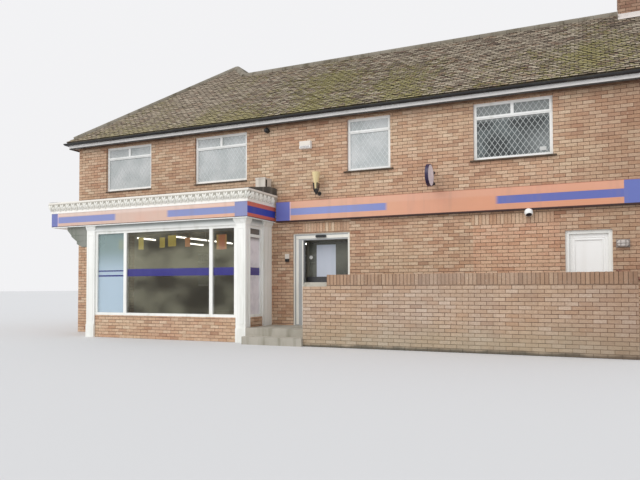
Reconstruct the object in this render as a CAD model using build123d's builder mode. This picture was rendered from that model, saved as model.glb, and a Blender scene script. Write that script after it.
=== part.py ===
from build123d import *
import os
from math import cos, radians, sqrt, tan

# Corner shop: a two-storey brick building with a hipped wing on the left, a long range
# under a plain ridge on the right, a projecting shopfront and a raised entrance landing.
# X runs along the front, the front faces -Y and Z is up, in mm, with Z = 0 on the pavement.
# Sketches are drawn from the front left corner of the walls at pavement level.

# Shell
length = 14850
range_depth = 5130
wing_width = 6530
wing_depth = 8600
wall = 300
wall_top = 5300
ground_floor_top = 340
first_floor_top = 3200
first_floor_thickness = 250
attic_floor_thickness = 160

# Roof
roof_pitch = 38.5
eaves_out = 170
tile_lip_height = 60
tile_lip_thickness = 20
tile_overhang = 45
roof_thickness = 180
ridge_tile_radius = 125
ridge_tile_sink = 60
hip_tile_start = 160
fascia_height = 150
fascia_thickness = 25
gutter_radius = 58
gutter_wall = 6
gutter_drop = 15
downpipe_radius = 36
downpipe_gap = 30
downpipe_bend = 50
swan_neck_height = 420
swan_neck_end = 105
pipe_clip_low_z = 1060
pipe_clip_high_z = 4240

# Chimney at the right end
chimney_width = 740
chimney_depth = 600
chimney_top_over_ridge = 1350
chimney_inset = 60
chimney_cap_out = 45
chimney_cap_height = 150
pot_radius = 120
pot_height = 380
pot_wall = 25
pot_spacing = 330

# Upper windows
upper_sill_z = 3930
upper_head_z = 5155
window_1_x = 1000
window_1_width = 1565
window_2_x = 3980
window_2_width = 1565
window_3_x = 8230
window_3_width = 1050
window_4_from_end = 3730
window_4_width = 1590
frame_setback = 55
frame_depth = 70
frame_face = 65
sash_face = 40
sash_lip = 12
glass_thickness = 20
stone_sill_height = 85
stone_sill_out = 60
tile_sill_height = 35
tile_sill_out = 25
sill_overrun = 70
sill_fall = 15
top_light_height = 215
back_lights = 2

# Windows at the back and on the left side
back_window_width = 1200
back_window_height = 1225
back_ground_sill_z = 1300
side_window_y = 5400
back_window_from_wing = 1670
back_window_from_end = 2950

# Projecting shopfront
bay_left = 1540
bay_right = 6250
bay_out = 1250
stallriser_height = 560
stallriser_thickness = 215
bay_head_z = 2680
bay_beam_height = 150
bay_opening_left = 1840
bay_opening_right = 5950
pilaster_width = 260
pilaster_depth = 200
pilaster_base_height = 320
pilaster_base_out = 20
pilaster_capital_height = 130
pilaster_capital_slab = 45
pilaster_capital_out = 45
shopfront_recess = 40
shop_frame_face = 65
shop_frame_depth = 90
shop_mullion_1_x = 2710
shop_mullion_2_x = 5250
shop_mullion_width = 90
return_front_out = 1030
return_back_out = 420
return_transom_z = 2480

# Canopy over the shopfront
canopy_left = 430
canopy_right = 6330
canopy_out = 1320
canopy_fascia_top = 3220
canopy_board = 60
canopy_deck_thickness = 60
cornice_height = 255
cornice_out = 80
cornice_foot = 25
cornice_fillet = 30
cornice_crown = 50
canopy_soffit_thickness = 40
sign_thickness = 22
sign_margin = 12
bracket_reach = 480
bracket_drop = 470
bracket_toe = 60
bracket_thickness = 90
bracket_knee = 0.45
plant_box_width = 260
plant_box_depth = 320
plant_box_height = 320
plant_box_gap = 60
plant_box_foot = 50
plant_box_foot_height = 280

# Sign board on the wall
wall_sign_gap = 6
wall_sign_from_end = 400
wall_sign_bottom = 2850
wall_sign_top = 3300
wall_sign_out = 90

# Entrance with a sliding door
entrance_left = 6830
entrance_right = 8290
entrance_head_z = 2530
entrance_setback = 30
entrance_frame_depth = 110
entrance_post = 60
entrance_side_panel = 200
entrance_header_height = 160
operator_depth = 150
operator_height = 160
running_clearance = 0.3
door_leaf_thickness = 45
door_leaf_gap = 8
door_stile = 70
door_bottom_rail = 120
door_floor_gap = 8
door_overlap = 50
hanger_gap = 8
hanger_width = 90
slide_travel = 1080
sensor_width = 260
sensor_height = 60
sensor_depth = 50

# White side door
side_door_width = 860
side_door_from_end = 1080
side_door_head_z = 2370
side_door_frame_face = 60
side_door_frame_depth = 90
side_door_setback = 40
side_door_stop = 12
side_door_stop_depth = 38
side_door_thickness = 44
side_door_clearance = 8
side_door_panel_margin = 110
side_door_panel_sink = 9
hinge_radius = 7
hinge_height = 100
hinge_plate = 35
hinge_plate_thickness = 4

# Raised landing and the low wall that screens it
landing_from_end = 750
screen_left = 7800
screen_out = 1500
screen_thickness = 215
screen_body_top = 1285
screen_coping_top = 1500
bevel_coping_left_run = 550
bevel_coping_bottom = 1260
bevel_coping_top = 1350
step_going = 300
step_inset = 100
handrail_radius = 22
handrail_out = 90
handrail_from_door = 70
handrail_from_end = 290
handrail_high_z = 1560
handrail_low_z = 1230

# Small fittings on the front wall
siren_x = 7185
siren_z = 4645
siren_width = 300
siren_height = 190
siren_depth = 90
siren_corner = 20
siren_taper = 6
lamp_x = 7530
lamp_out = 200
lamp_top_z = 3940
lamp_shade_z = 3570
lamp_foot_z = 3410
lamp_rim_radius = 100
lamp_foot_radius = 35
lamp_shade_wall = 8
lamp_arm_radius = 16
lamp_plate_radius = 50
lamp_plate_thickness = 15
camera_from_door = 680
camera_gap = 5
camera_radius = 85
camera_base = 136
camera_base_corner = 21
bulkhead_from_door = 180
bulkhead_z = 2080
bulkhead_width = 220
bulkhead_height = 130
bulkhead_depth = 90
projecting_sign_x = 10260
projecting_sign_z = 3620
projecting_sign_width = 540
projecting_sign_height = 480
projecting_sign_thickness = 70
projecting_sign_arm = 130
projecting_sign_bar = 35
projecting_sign_bar_spacing = 240

os.makedirs("parts", exist_ok=True)

slope = tan(radians(roof_pitch))
gutter_out = eaves_out + fascia_thickness + 2 * gutter_radius
left = -(length - gutter_out) / 2
screen_inner_out = screen_out - screen_thickness
window_4_x = length - window_4_from_end
wall_sign_right = length - wall_sign_from_end
side_door_right = length - side_door_from_end
side_door_left = side_door_right - side_door_width
landing_right = length - landing_from_end
front = -(wing_depth + gutter_out - screen_inner_out - step_going) / 2
ceiling_z = first_floor_top - first_floor_thickness
shopfront_out = bay_out - shopfront_recess
bay_floor_out = shopfront_out - stallriser_thickness
bay_beam_top = bay_head_z + bay_beam_height
wall_sign_left = canopy_right + cornice_out + wall_sign_gap


def plan(z):
    """Level drawing plane, seen from above."""
    return Plane(origin=(left, front, z), x_dir=(1, 0, 0), z_dir=(0, 0, 1))


def elevation(y):
    """Upright drawing plane seen from the street. An extrusion comes forward."""
    return Plane(origin=(left, front + y, 0), x_dir=(1, 0, 0), z_dir=(0, -1, 0))


def section(x):
    """Upright drawing plane across the building. An extrusion goes right."""
    return Plane(origin=(left + x, front, 0), x_dir=(0, 1, 0), z_dir=(1, 0, 0))


def area(u0, u1, v0, v1, mode=Mode.ADD):
    """Rectangle between two edges each way, for use in a sketch."""
    with Locations(((u0 + u1) / 2, (v0 + v1) / 2)):
        Rectangle(u1 - u0, v1 - v0, mode=mode)


def write(name, piece):
    piece.part.label = name
    export_step(piece.part, f"parts/{name}.step")


# Left edge, width and number of top lights of each front window
front_windows = [
    (window_1_x, window_1_width, 2),
    (window_2_x, window_2_width, 2),
    (window_3_x, window_3_width, 1),
    (window_4_x, window_4_width, 2),
]

# Windows of the unseen sides, in the same storeys as the front
range_back_windows = [wing_width + back_window_from_wing, length - back_window_from_end]
wing_back_windows = [(wing_width - back_window_width) / 2]
left_side_windows = [side_window_y]
upper_back_sill_z = upper_head_z - back_window_height
back_sills = [back_ground_sill_z, upper_back_sill_z]

# Ground storey of the front wall, in pieces beside and over the doorways
with BuildPart() as front_wall_left:
    with BuildSketch(elevation(wall)):
        area(0, entrance_left, 0, first_floor_top)
        area(bay_opening_left, bay_opening_right, 0, bay_head_z, Mode.SUBTRACT)
    extrude(amount=wall)
write("front_wall_left", front_wall_left)

with BuildPart() as front_wall_middle:
    with BuildSketch(elevation(wall)):
        area(entrance_right, side_door_left, 0, first_floor_top)
    extrude(amount=wall)
write("front_wall_middle", front_wall_middle)

with BuildPart() as front_wall_right:
    with BuildSketch(elevation(wall)):
        area(side_door_right, length, 0, first_floor_top)
    extrude(amount=wall)
write("front_wall_right", front_wall_right)

with BuildPart() as door_lintels:
    with BuildSketch(elevation(wall)):
        area(entrance_left, entrance_right, entrance_head_z, first_floor_top)
        area(side_door_left, side_door_right, side_door_head_z, first_floor_top)
    extrude(amount=wall)
write("door_lintels", door_lintels)

with BuildPart() as front_wall_upper:
    with BuildSketch(elevation(wall)):
        area(0, length, first_floor_top, wall_top)
        for x, width, lights in front_windows:
            area(x, x + width, upper_sill_z, upper_head_z, Mode.SUBTRACT)
    extrude(amount=wall)
write("front_wall_upper", front_wall_upper)

# Walls of the unseen sides
with BuildPart() as left_wall:
    with BuildSketch(section(0)):
        area(wall, wing_depth, 0, wall_top)
        for y in left_side_windows:
            for sill in back_sills:
                area(y, y + back_window_width, sill, sill + back_window_height, Mode.SUBTRACT)
    extrude(amount=wall)
write("left_wall", left_wall)

with BuildPart() as wing_back_wall:
    with BuildSketch(elevation(wing_depth)):
        area(wall, wing_width - wall, 0, wall_top)
        for x in wing_back_windows:
            for sill in back_sills:
                area(x, x + back_window_width, sill, sill + back_window_height, Mode.SUBTRACT)
    extrude(amount=wall)
write("wing_back_wall", wing_back_wall)

with BuildPart() as wing_right_wall:
    with BuildSketch(section(wing_width - wall)):
        area(range_depth - wall, wing_depth, 0, wall_top)
    extrude(amount=wall)
write("wing_right_wall", wing_right_wall)

with BuildPart() as range_back_wall:
    with BuildSketch(elevation(range_depth)):
        area(wing_width, length - wall, 0, wall_top)
        for x in range_back_windows:
            for sill in back_sills:
                area(x, x + back_window_width, sill, sill + back_window_height, Mode.SUBTRACT)
    extrude(amount=wall)
write("range_back_wall", range_back_wall)


# Roof. The top surface rises from the edge of the tiles at one pitch on every side.
lip_bottom = wall_top + tile_lip_height
edge_top = lip_bottom + tile_lip_thickness
edge_out = eaves_out + fascia_thickness + tile_overhang
underside_step = roof_thickness / cos(radians(roof_pitch))
inner_foot = edge_top + slope * (edge_out + wall) - underside_step
range_ridge_z = edge_top + slope * (range_depth / 2 + edge_out)
wing_ridge_z = edge_top + slope * (wing_width / 2 + edge_out)


def roof_outline(low, high, ridge_run):
    """Eaves, tile lip and slopes between two wall faces, for use in a sketch.
    The slopes stop after ridge_run, so that half the span gives a plain ridge."""
    top = edge_top + slope * ridge_run
    near = [
        (low - eaves_out, wall_top),
        (low - eaves_out, lip_bottom),
        (low - edge_out, lip_bottom),
        (low - edge_out, edge_top),
        (low - edge_out + ridge_run, top),
    ]
    far = [(low + high - y, z) for y, z in reversed(near)]
    Polygon(*near, *[point for point in far if point not in near], align=None)


def attic_outline(low, high, ridge_run):
    """Space under the slopes between the inner wall faces, for use in a sketch."""
    top = inner_foot + slope * ridge_run
    near = [(low, wall_top), (low, inner_foot), (low + ridge_run, top)]
    far = [(low + high - y, z) for y, z in reversed(near)]
    Polygon(*near, *[point for point in far if point not in near], align=None)


def wing_block(outline, inset, reach):
    """Hipped block over the wing, where the gabled and the hipped outline meet."""
    half_span = wing_width / 2 - inset + reach
    with BuildPart() as block:
        with BuildSketch(elevation(wing_depth + edge_out)):
            outline(inset, wing_width - inset, half_span)
        extrude(amount=wing_depth + 2 * edge_out)
        with BuildSketch(section(-edge_out)):
            outline(inset, wing_depth - inset, half_span)
        extrude(amount=wing_width + 2 * edge_out, mode=Mode.INTERSECT)
    return block.part


def range_block(outline, inset, reach):
    """Gabled block over the long range, from inside the wing to the right end."""
    with BuildPart() as block:
        with BuildSketch(section(wing_width / 2)):
            outline(inset, range_depth - inset, range_depth / 2 - inset + reach)
        extrude(amount=length - wing_width / 2)
    return block.part


with BuildPart() as roof_solid:
    add(wing_block(roof_outline, 0, edge_out))
    add(range_block(roof_outline, 0, edge_out))

with BuildPart() as roof_slopes:
    add(roof_solid.part)
    add(wing_block(attic_outline, wall, 0), mode=Mode.SUBTRACT)
    add(range_block(attic_outline, wall, 0), mode=Mode.SUBTRACT)
write("roof_slopes", roof_slopes)

with BuildPart() as party_wall:
    with BuildSketch(section(length - wall)):
        area(wall, range_depth, 0, wall_top)
    extrude(amount=wall)
    with BuildSketch(section(length - wall)):
        attic_outline(wall, range_depth - wall, range_depth / 2 - wall)
    extrude(amount=wall)
write("party_wall", party_wall)

# Capping tiles sit astride the ridges and hips, cut to the slopes below them
hip_run = wing_width / 2 + edge_out
range_hip_run = range_depth / 2 + edge_out
hip_foot = hip_tile_start - edge_out
hip_foot_z = edge_top + slope * hip_tile_start
front_apex = (wing_width / 2, hip_run - edge_out, wing_ridge_z)
back_apex = (wing_width / 2, wing_depth + edge_out - hip_run, wing_ridge_z)
range_ridge_start = (wing_width + edge_out - range_hip_run, range_depth / 2, range_ridge_z)
capping_runs = [
    (front_apex, back_apex),
    (range_ridge_start, (length, range_depth / 2, range_ridge_z)),
    ((hip_foot, hip_foot, hip_foot_z), front_apex),
    (range_ridge_start, front_apex),
    ((hip_foot, wing_depth - hip_foot, hip_foot_z), back_apex),
    ((wing_width - hip_foot, wing_depth - hip_foot, hip_foot_z), back_apex),
]
with BuildPart() as ridge_tiles:
    for start, end in capping_runs:
        low = Vector(left + start[0], front + start[1], start[2] - ridge_tile_sink)
        high = Vector(left + end[0], front + end[1], end[2] - ridge_tile_sink)
        with BuildSketch(Plane(origin=low, z_dir=high - low)):
            Circle(ridge_tile_radius)
        extrude(amount=(high - low).length)
    add(roof_solid.part, mode=Mode.SUBTRACT)
write("ridge_tiles", ridge_tiles)

# Floors
floors = {
    "ground_floor": (0, ground_floor_top),
    "first_floor": (ceiling_z, first_floor_thickness),
    "attic_floor": (wall_top - attic_floor_thickness, attic_floor_thickness),
}
for name, (bottom, thickness) in floors.items():
    with BuildPart() as floor:
        with BuildSketch(plan(bottom)):
            area(wall, wing_width - wall, wall, wing_depth - wall)
            area(wing_width - wall, length - wall, wall, range_depth - wall)
            if name == "ground_floor":
                area(bay_opening_left, bay_opening_right, 0, wall)
                area(bay_left + stallriser_thickness, bay_right - pilaster_depth, -bay_floor_out, 0)
                area(entrance_left, entrance_right, 0, wall)
                area(side_door_left, side_door_right, 0, wall)
        extrude(amount=thickness)
    write(name, floor)


# Eaves boards and gutters follow the eaves round the wing and the range
def eaves_outline(out, mode=Mode.ADD):
    """Building outline grown by a distance at every eaves, for use in a sketch."""
    Polygon(
        (length, -out),
        (-out, -out),
        (-out, wing_depth + out),
        (wing_width + out, wing_depth + out),
        (wing_width + out, range_depth + out),
        (length, range_depth + out),
        align=None,
        mode=mode,
    )


fascia_out = eaves_out + fascia_thickness
fascia_top = lip_bottom - tile_lip_thickness
with BuildPart() as fascia_boards:
    with BuildSketch(plan(fascia_top - fascia_height)):
        eaves_outline(fascia_out)
        eaves_outline(eaves_out, Mode.SUBTRACT)
    extrude(amount=fascia_height)
write("fascia_boards", fascia_boards)

gutter_centre_out = fascia_out + gutter_radius
gutter_top = lip_bottom - gutter_drop
with BuildPart() as gutters:
    with BuildLine() as gutter_line:
        Polyline(
            (left + length, front - gutter_centre_out, gutter_top),
            (left - gutter_centre_out, front - gutter_centre_out, gutter_top),
            (left - gutter_centre_out, front + wing_depth + gutter_centre_out, gutter_top),
            (left + wing_width + gutter_centre_out, front + wing_depth + gutter_centre_out, gutter_top),
            (left + wing_width + gutter_centre_out, front + range_depth + gutter_centre_out, gutter_top),
            (left + length, front + range_depth + gutter_centre_out, gutter_top),
        )
    with BuildSketch(Plane(origin=gutter_line.line @ 0, x_dir=(0, 1, 0), z_dir=(-1, 0, 0))):
        Circle(gutter_radius)
        Circle(gutter_radius - gutter_wall, mode=Mode.SUBTRACT)
        with Locations((0, -gutter_radius)):
            Rectangle(4 * gutter_radius, 2 * gutter_radius, mode=Mode.SUBTRACT)
    sweep(transition=Transition.RIGHT)

# The downpipe drops from the front gutter, turns back to the wall and runs to the landing
pipe_x = length - downpipe_gap - downpipe_radius
pipe_y = -downpipe_gap - downpipe_radius
outlet_z = gutter_top - gutter_radius + gutter_wall
with BuildPart() as downpipe:
    with BuildLine() as pipe_line:
        FilletPolyline(
            (left + pipe_x, front - gutter_centre_out, outlet_z),
            (left + pipe_x, front - gutter_centre_out, outlet_z - swan_neck_end),
            (left + pipe_x, front + pipe_y, outlet_z - swan_neck_height + swan_neck_end),
            (left + pipe_x, front + pipe_y, 0),
            radius=downpipe_bend,
        )
    with BuildSketch(Plane(origin=pipe_line.line @ 0, z_dir=(0, 0, -1))):
        Circle(downpipe_radius)
    sweep()
    for clip_z in (pipe_clip_low_z, pipe_clip_high_z):
        with BuildSketch(plan(clip_z)):
            area(pipe_x - downpipe_radius / 2, pipe_x + downpipe_radius / 2, pipe_y, 0)
        extrude(amount=downpipe_radius)

with BuildPart() as rainwater_pipes:
    add(gutters.part)
    add(downpipe.part)
write("rainwater_pipes", rainwater_pipes)

# Chimney astride the ridge at the right end
chimney_right = length - chimney_inset
chimney_left = chimney_right - chimney_width
chimney_front = (range_depth - chimney_depth) / 2
chimney_back = chimney_front + chimney_depth
chimney_top = range_ridge_z + chimney_top_over_ridge
with BuildPart() as chimney_stack:
    with BuildSketch(plan(range_ridge_z - chimney_depth)):
        area(chimney_left, chimney_right, chimney_front, chimney_back)
    extrude(amount=chimney_top - range_ridge_z + chimney_depth)
    with BuildSketch(plan(chimney_top - 2 * chimney_cap_height)):
        area(
            chimney_left - chimney_cap_out,
            chimney_right + chimney_cap_out,
            chimney_front - chimney_cap_out,
            chimney_back + chimney_cap_out,
        )
    extrude(amount=chimney_cap_height)
    add(roof_solid.part, mode=Mode.SUBTRACT)
    add(ridge_tiles.part, mode=Mode.SUBTRACT)
write("chimney_stack", chimney_stack)

with BuildPart() as chimney_pots:
    for shift in (-pot_spacing / 2, pot_spacing / 2):
        with BuildSketch(plan(chimney_top)):
            with Locations(((chimney_left + chimney_right) / 2 + shift, range_depth / 2)):
                Circle(pot_radius)
                Circle(pot_radius - pot_wall, mode=Mode.SUBTRACT)
        extrude(amount=pot_height)
write("chimney_pots", chimney_pots)


# Windows: a white frame with top lights over one large pane
def window_panes(x, width, sill, height, lights):
    """Daylight openings of one window: the large pane, then the top lights."""
    low = sill + frame_face
    high = sill + height - frame_face
    transom = high - top_light_height
    panes = [(x + frame_face, x + width - frame_face, low, transom - frame_face)]
    clear = width - 2 * frame_face - (lights - 1) * frame_face
    for number in range(lights):
        start = x + frame_face + number * (clear / lights + frame_face)
        panes.append((start, start + clear / lights, transom, high))
    return panes


def window_frame(x, width, sill, height, lights, face_plane):
    """Frame of one window with raised sashes on the top lights."""
    panes = window_panes(x, width, sill, height, lights)
    with BuildPart() as frame:
        with BuildSketch(face_plane):
            area(x, x + width, sill, sill + height)
            for pane in panes:
                area(*pane, Mode.SUBTRACT)
        extrude(amount=frame_depth)
        with BuildSketch(face_plane.offset(frame_depth)):
            for u0, u1, v0, v1 in panes[1:]:
                area(u0 - sash_face, u1 + sash_face, v0 - sash_face, v1 + sash_face)
            for pane in panes[1:]:
                area(*pane, Mode.SUBTRACT)
        extrude(amount=sash_lip)
    return frame


def window_glass(x, width, sill, height, lights, face_plane):
    """Panes of one window, fitted in its frame."""
    with BuildPart() as glass:
        with BuildSketch(face_plane.offset((frame_depth - glass_thickness) / 2)):
            for pane in window_panes(x, width, sill, height, lights):
                area(*pane)
        extrude(amount=glass_thickness)
    return glass


frame_back = frame_setback + frame_depth
upper_window_height = upper_head_z - upper_sill_z
front_frame_plane = elevation(frame_back)
for number, (x, width, lights) in enumerate(front_windows, start=1):
    outline = (x, width, upper_sill_z, upper_window_height, lights, front_frame_plane)
    write(f"window_frame_{number}", window_frame(*outline))
    write(f"window_glass_{number}", window_glass(*outline))

# Windows at the back face +Y and those on the left side face -X
range_back_origin = (left, front + range_depth - frame_back, 0)
range_back_plane = Plane(origin=range_back_origin, x_dir=(-1, 0, 0), z_dir=(0, 1, 0))
wing_back_plane = range_back_plane.offset(wing_depth - range_depth)
left_side_plane = Plane(origin=(left + frame_back, front, 0), x_dir=(0, -1, 0), z_dir=(-1, 0, 0))
back_windows = []
for sill in back_sills:
    for x in range_back_windows:
        back_windows.append((-x - back_window_width, sill, range_back_plane))
    for x in wing_back_windows:
        back_windows.append((-x - back_window_width, sill, wing_back_plane))
    for y in left_side_windows:
        back_windows.append((-y - back_window_width, sill, left_side_plane))
back_frames = []
back_panes = []
for start, sill, face_plane in back_windows:
    outline = (start, back_window_width, sill, back_window_height, back_lights, face_plane)
    back_frames.append(window_frame(*outline).part)
    back_panes.append(window_glass(*outline).part)
with BuildPart() as back_window_frames:
    add(back_frames)
write("back_window_frames", back_window_frames)
with BuildPart() as back_window_glass:
    add(back_panes)
write("back_window_glass", back_window_glass)

with BuildPart() as stone_sills:
    for x, width, lights in front_windows[2:]:
        with BuildSketch(section(x - sill_overrun)):
            Polygon(
                (0, upper_sill_z - stone_sill_height),
                (0, upper_sill_z),
                (-stone_sill_out, upper_sill_z - sill_fall),
                (-stone_sill_out, upper_sill_z - stone_sill_height),
                align=None,
            )
        extrude(amount=width + 2 * sill_overrun)
write("stone_sills", stone_sills)

with BuildPart() as tile_sills:
    for x, width, lights in front_windows[:2]:
        with BuildSketch(elevation(0)):
            area(x, x + width, upper_sill_z - tile_sill_height, upper_sill_z)
        extrude(amount=tile_sill_out)
write("tile_sills", tile_sills)

# Projecting shopfront: pilasters at the front corners and against the wall
front_left_post = (bay_left, bay_left + pilaster_width, -bay_out, -bay_out + pilaster_depth)
front_right_post = (bay_right - pilaster_width, bay_right, -bay_out, -return_front_out)
wall_post = (bay_right - pilaster_depth, bay_right, -return_back_out, 0)
# Each post with how far its base stands out to the right and front, and its capital to the left
pilasters = [
    (front_left_post, 0, pilaster_base_out, 0),
    (front_right_post, pilaster_base_out, pilaster_base_out, pilaster_capital_out),
    (wall_post, pilaster_base_out, 0, 0),
]
with BuildPart() as bay_pilasters:
    for (x0, x1, y0, y1), right_out, front_out, capital_left in pilasters:
        with BuildSketch(plan(0)):
            area(x0, x1, y0, y1)
        extrude(amount=bay_beam_top)
        with BuildSketch(plan(0)):
            area(x0, x1 + right_out, y0 - front_out, y1)
        extrude(amount=pilaster_base_height)
        with BuildSketch(plan(bay_beam_top - pilaster_capital_height)):
            area(x0, x1, y0, y1)
        with BuildSketch(plan(bay_beam_top - pilaster_capital_slab)):
            area(x0 - capital_left, x1 + pilaster_capital_out, y0 - pilaster_capital_out, y1)
        loft()
        with BuildSketch(plan(bay_beam_top - pilaster_capital_slab)):
            area(x0 - capital_left, x1 + pilaster_capital_out, y0 - pilaster_capital_out, y1)
        extrude(amount=pilaster_capital_slab)
write("bay_pilasters", bay_pilasters)

# The stallriser wraps the front and the right return, and a cheek wall closes the left
with BuildPart() as bay_base:
    with BuildSketch(plan(0)):
        area(bay_left, bay_right - shopfront_recess, -shopfront_out, 0)
        area(bay_left + stallriser_thickness, bay_right - pilaster_depth, -bay_floor_out, 0, Mode.SUBTRACT)
        for post, right_out, front_out, capital_left in pilasters:
            area(*post, Mode.SUBTRACT)
    extrude(amount=stallriser_height)
    with BuildSketch(plan(stallriser_height)):
        area(bay_left, bay_left + stallriser_thickness, -shopfront_out, 0)
        area(*front_left_post, Mode.SUBTRACT)
    extrude(amount=bay_head_z - stallriser_height)
write("bay_base", bay_base)

with BuildPart() as bay_beam:
    with BuildSketch(plan(bay_head_z)):
        area(bay_left, bay_right, -bay_out, 0)
        for post, right_out, front_out, capital_left in pilasters:
            area(*post, Mode.SUBTRACT)
    extrude(amount=bay_beam_height)
    add(bay_pilasters.part, mode=Mode.SUBTRACT)
write("bay_beam", bay_beam)

# Shop window frames and their panes, across the front and along the right return
shop_left = bay_left + pilaster_width
shop_right = bay_right - pilaster_width
shop_low = stallriser_height + shop_frame_face
shop_high = bay_head_z - shop_frame_face
shop_front_panes = [
    (shop_left + shop_frame_face, shop_mullion_1_x, shop_low, shop_high),
    (shop_mullion_1_x + shop_mullion_width, shop_mullion_2_x, shop_low, shop_high),
    (shop_mullion_2_x + shop_mullion_width, shop_right - shop_frame_face, shop_low, shop_high),
]
return_low_y = -return_front_out + shop_frame_face
return_high_y = -return_back_out - shop_frame_face
return_panes = [
    (return_low_y, return_high_y, shop_low, return_transom_z - shop_frame_face),
    (return_low_y, return_high_y, return_transom_z, shop_high),
]
shop_front_plane = elevation(-shopfront_out + shop_frame_depth)
return_plane = section(bay_right - shopfront_recess - shop_frame_depth)
with BuildPart() as bay_frames:
    with BuildSketch(shop_front_plane):
        area(shop_left, shop_right, stallriser_height, bay_head_z)
        for pane in shop_front_panes:
            area(*pane, Mode.SUBTRACT)
    extrude(amount=shop_frame_depth)
    with BuildSketch(return_plane):
        area(-return_front_out, -return_back_out, stallriser_height, bay_head_z)
        for pane in return_panes:
            area(*pane, Mode.SUBTRACT)
    extrude(amount=shop_frame_depth)
write("bay_frames", bay_frames)

with BuildPart() as bay_glass:
    with BuildSketch(shop_front_plane.offset((shop_frame_depth - glass_thickness) / 2)):
        for pane in shop_front_panes:
            area(*pane)
    extrude(amount=glass_thickness)
    with BuildSketch(return_plane.offset((shop_frame_depth - glass_thickness) / 2)):
        for pane in return_panes:
            area(*pane)
    extrude(amount=glass_thickness)
write("bay_glass", bay_glass)

# Canopy: boards and soffit on the beam, a flat deck inside them, and a moulded cornice
canopy_top = canopy_fascia_top + cornice_height
with BuildPart() as canopy_boards:
    with BuildSketch(plan(bay_beam_top)):
        area(canopy_left, canopy_right, -canopy_out, 0)
    extrude(amount=canopy_soffit_thickness)
    with BuildSketch(plan(bay_beam_top + canopy_soffit_thickness)):
        area(canopy_left, canopy_right, -canopy_out, 0)
        area(
            canopy_left + canopy_board,
            canopy_right - canopy_board,
            -canopy_out + canopy_board,
            0,
            Mode.SUBTRACT,
        )
    extrude(amount=canopy_top - bay_beam_top - canopy_soffit_thickness)
write("canopy_boards", canopy_boards)

with BuildPart() as canopy_deck:
    with BuildSketch(plan(canopy_fascia_top)):
        area(canopy_left + canopy_board, canopy_right - canopy_board, -canopy_out + canopy_board, 0)
    extrude(amount=canopy_deck_thickness)
write("canopy_deck", canopy_deck)

with BuildPart() as cornice:
    with BuildLine():
        Polyline(
            (left + canopy_left, front, 0),
            (left + canopy_left, front - canopy_out, 0),
            (left + canopy_right, front - canopy_out, 0),
            (left + canopy_right, front, 0),
        )
    with BuildSketch(Plane(origin=(left + canopy_left, front, 0), x_dir=(-1, 0, 0), z_dir=(0, 1, 0))):
        with BuildLine():
            Polyline(
                (0, canopy_top),
                (0, canopy_fascia_top),
                (cornice_foot, canopy_fascia_top),
                (cornice_foot, canopy_fascia_top + cornice_fillet),
            )
            RadiusArc(
                (cornice_foot, canopy_fascia_top + cornice_fillet),
                (cornice_out, canopy_top - cornice_crown),
                -cornice_height,
            )
            Polyline((cornice_out, canopy_top - cornice_crown), (cornice_out, canopy_top), (0, canopy_top))
        make_face()
    sweep(transition=Transition.RIGHT)
write("cornice", cornice)

with BuildPart() as canopy_sign:
    with BuildSketch(plan(bay_beam_top + sign_margin)):
        area(canopy_left - sign_thickness, canopy_right + sign_thickness, -canopy_out - sign_thickness, 0)
        area(canopy_left, canopy_right, -canopy_out, 0, Mode.SUBTRACT)
    extrude(amount=canopy_fascia_top - bay_beam_top - 2 * sign_margin)
write("canopy_sign", canopy_sign)

with BuildPart() as canopy_bracket:
    knee = (bay_left - bracket_knee * bracket_reach, bay_beam_top - bracket_knee * bracket_drop)
    with BuildSketch(elevation(-bay_out + bracket_thickness)):
        with BuildLine():
            Polyline(
                (bay_left, bay_beam_top - bracket_drop),
                (bay_left, bay_beam_top),
                (bay_left - bracket_reach, bay_beam_top),
                (bay_left - bracket_reach, bay_beam_top - bracket_toe),
            )
            RadiusArc((bay_left - bracket_reach, bay_beam_top - bracket_toe), knee, bracket_reach / 2)
            RadiusArc(knee, (bay_left, bay_beam_top - bracket_drop), bracket_reach / 2)
        make_face()
    extrude(amount=bracket_thickness)
write("canopy_bracket", canopy_bracket)

# Plant box on two feet, close to the wall at the right end of the deck
plant_right = canopy_right - canopy_board
plant_left = plant_right - plant_box_width
plant_front_y = -plant_box_gap - plant_box_depth
with BuildPart() as plant_box:
    with BuildSketch(plan(canopy_fascia_top + canopy_deck_thickness)):
        area(plant_left, plant_left + plant_box_foot, plant_front_y, -plant_box_gap)
        area(plant_right - plant_box_foot, plant_right, plant_front_y, -plant_box_gap)
    extrude(amount=plant_box_foot_height)
    with BuildSketch(plan(canopy_fascia_top + canopy_deck_thickness + plant_box_foot_height)):
        area(plant_left, plant_right, plant_front_y, -plant_box_gap)
    extrude(amount=plant_box_height)
write("plant_box", plant_box)

with BuildPart() as wall_sign:
    with BuildSketch(elevation(0)):
        area(wall_sign_left, wall_sign_right, wall_sign_bottom, wall_sign_top)
    extrude(amount=wall_sign_out)
write("wall_sign", wall_sign)

# Entrance: a fixed frame in the opening and a leaf that slides behind the wall
opening_left = entrance_left + entrance_post + entrance_side_panel
opening_right = entrance_right - entrance_post
opening_head = entrance_head_z - entrance_header_height
with BuildPart() as entrance_frame:
    with BuildSketch(elevation(entrance_setback + entrance_frame_depth)):
        area(entrance_left, entrance_right, ground_floor_top, entrance_head_z)
        area(opening_left, opening_right, ground_floor_top, opening_head, Mode.SUBTRACT)
    extrude(amount=entrance_frame_depth)
write("entrance_frame", entrance_frame)

with BuildPart() as door_sensor:
    with BuildSketch(elevation(entrance_setback)):
        with Locations(((entrance_left + entrance_right) / 2, opening_head + entrance_header_height / 2)):
            RectangleRounded(sensor_width, sensor_height, sensor_height / 3)
    extrude(amount=sensor_depth)
write("door_sensor", door_sensor)

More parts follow.
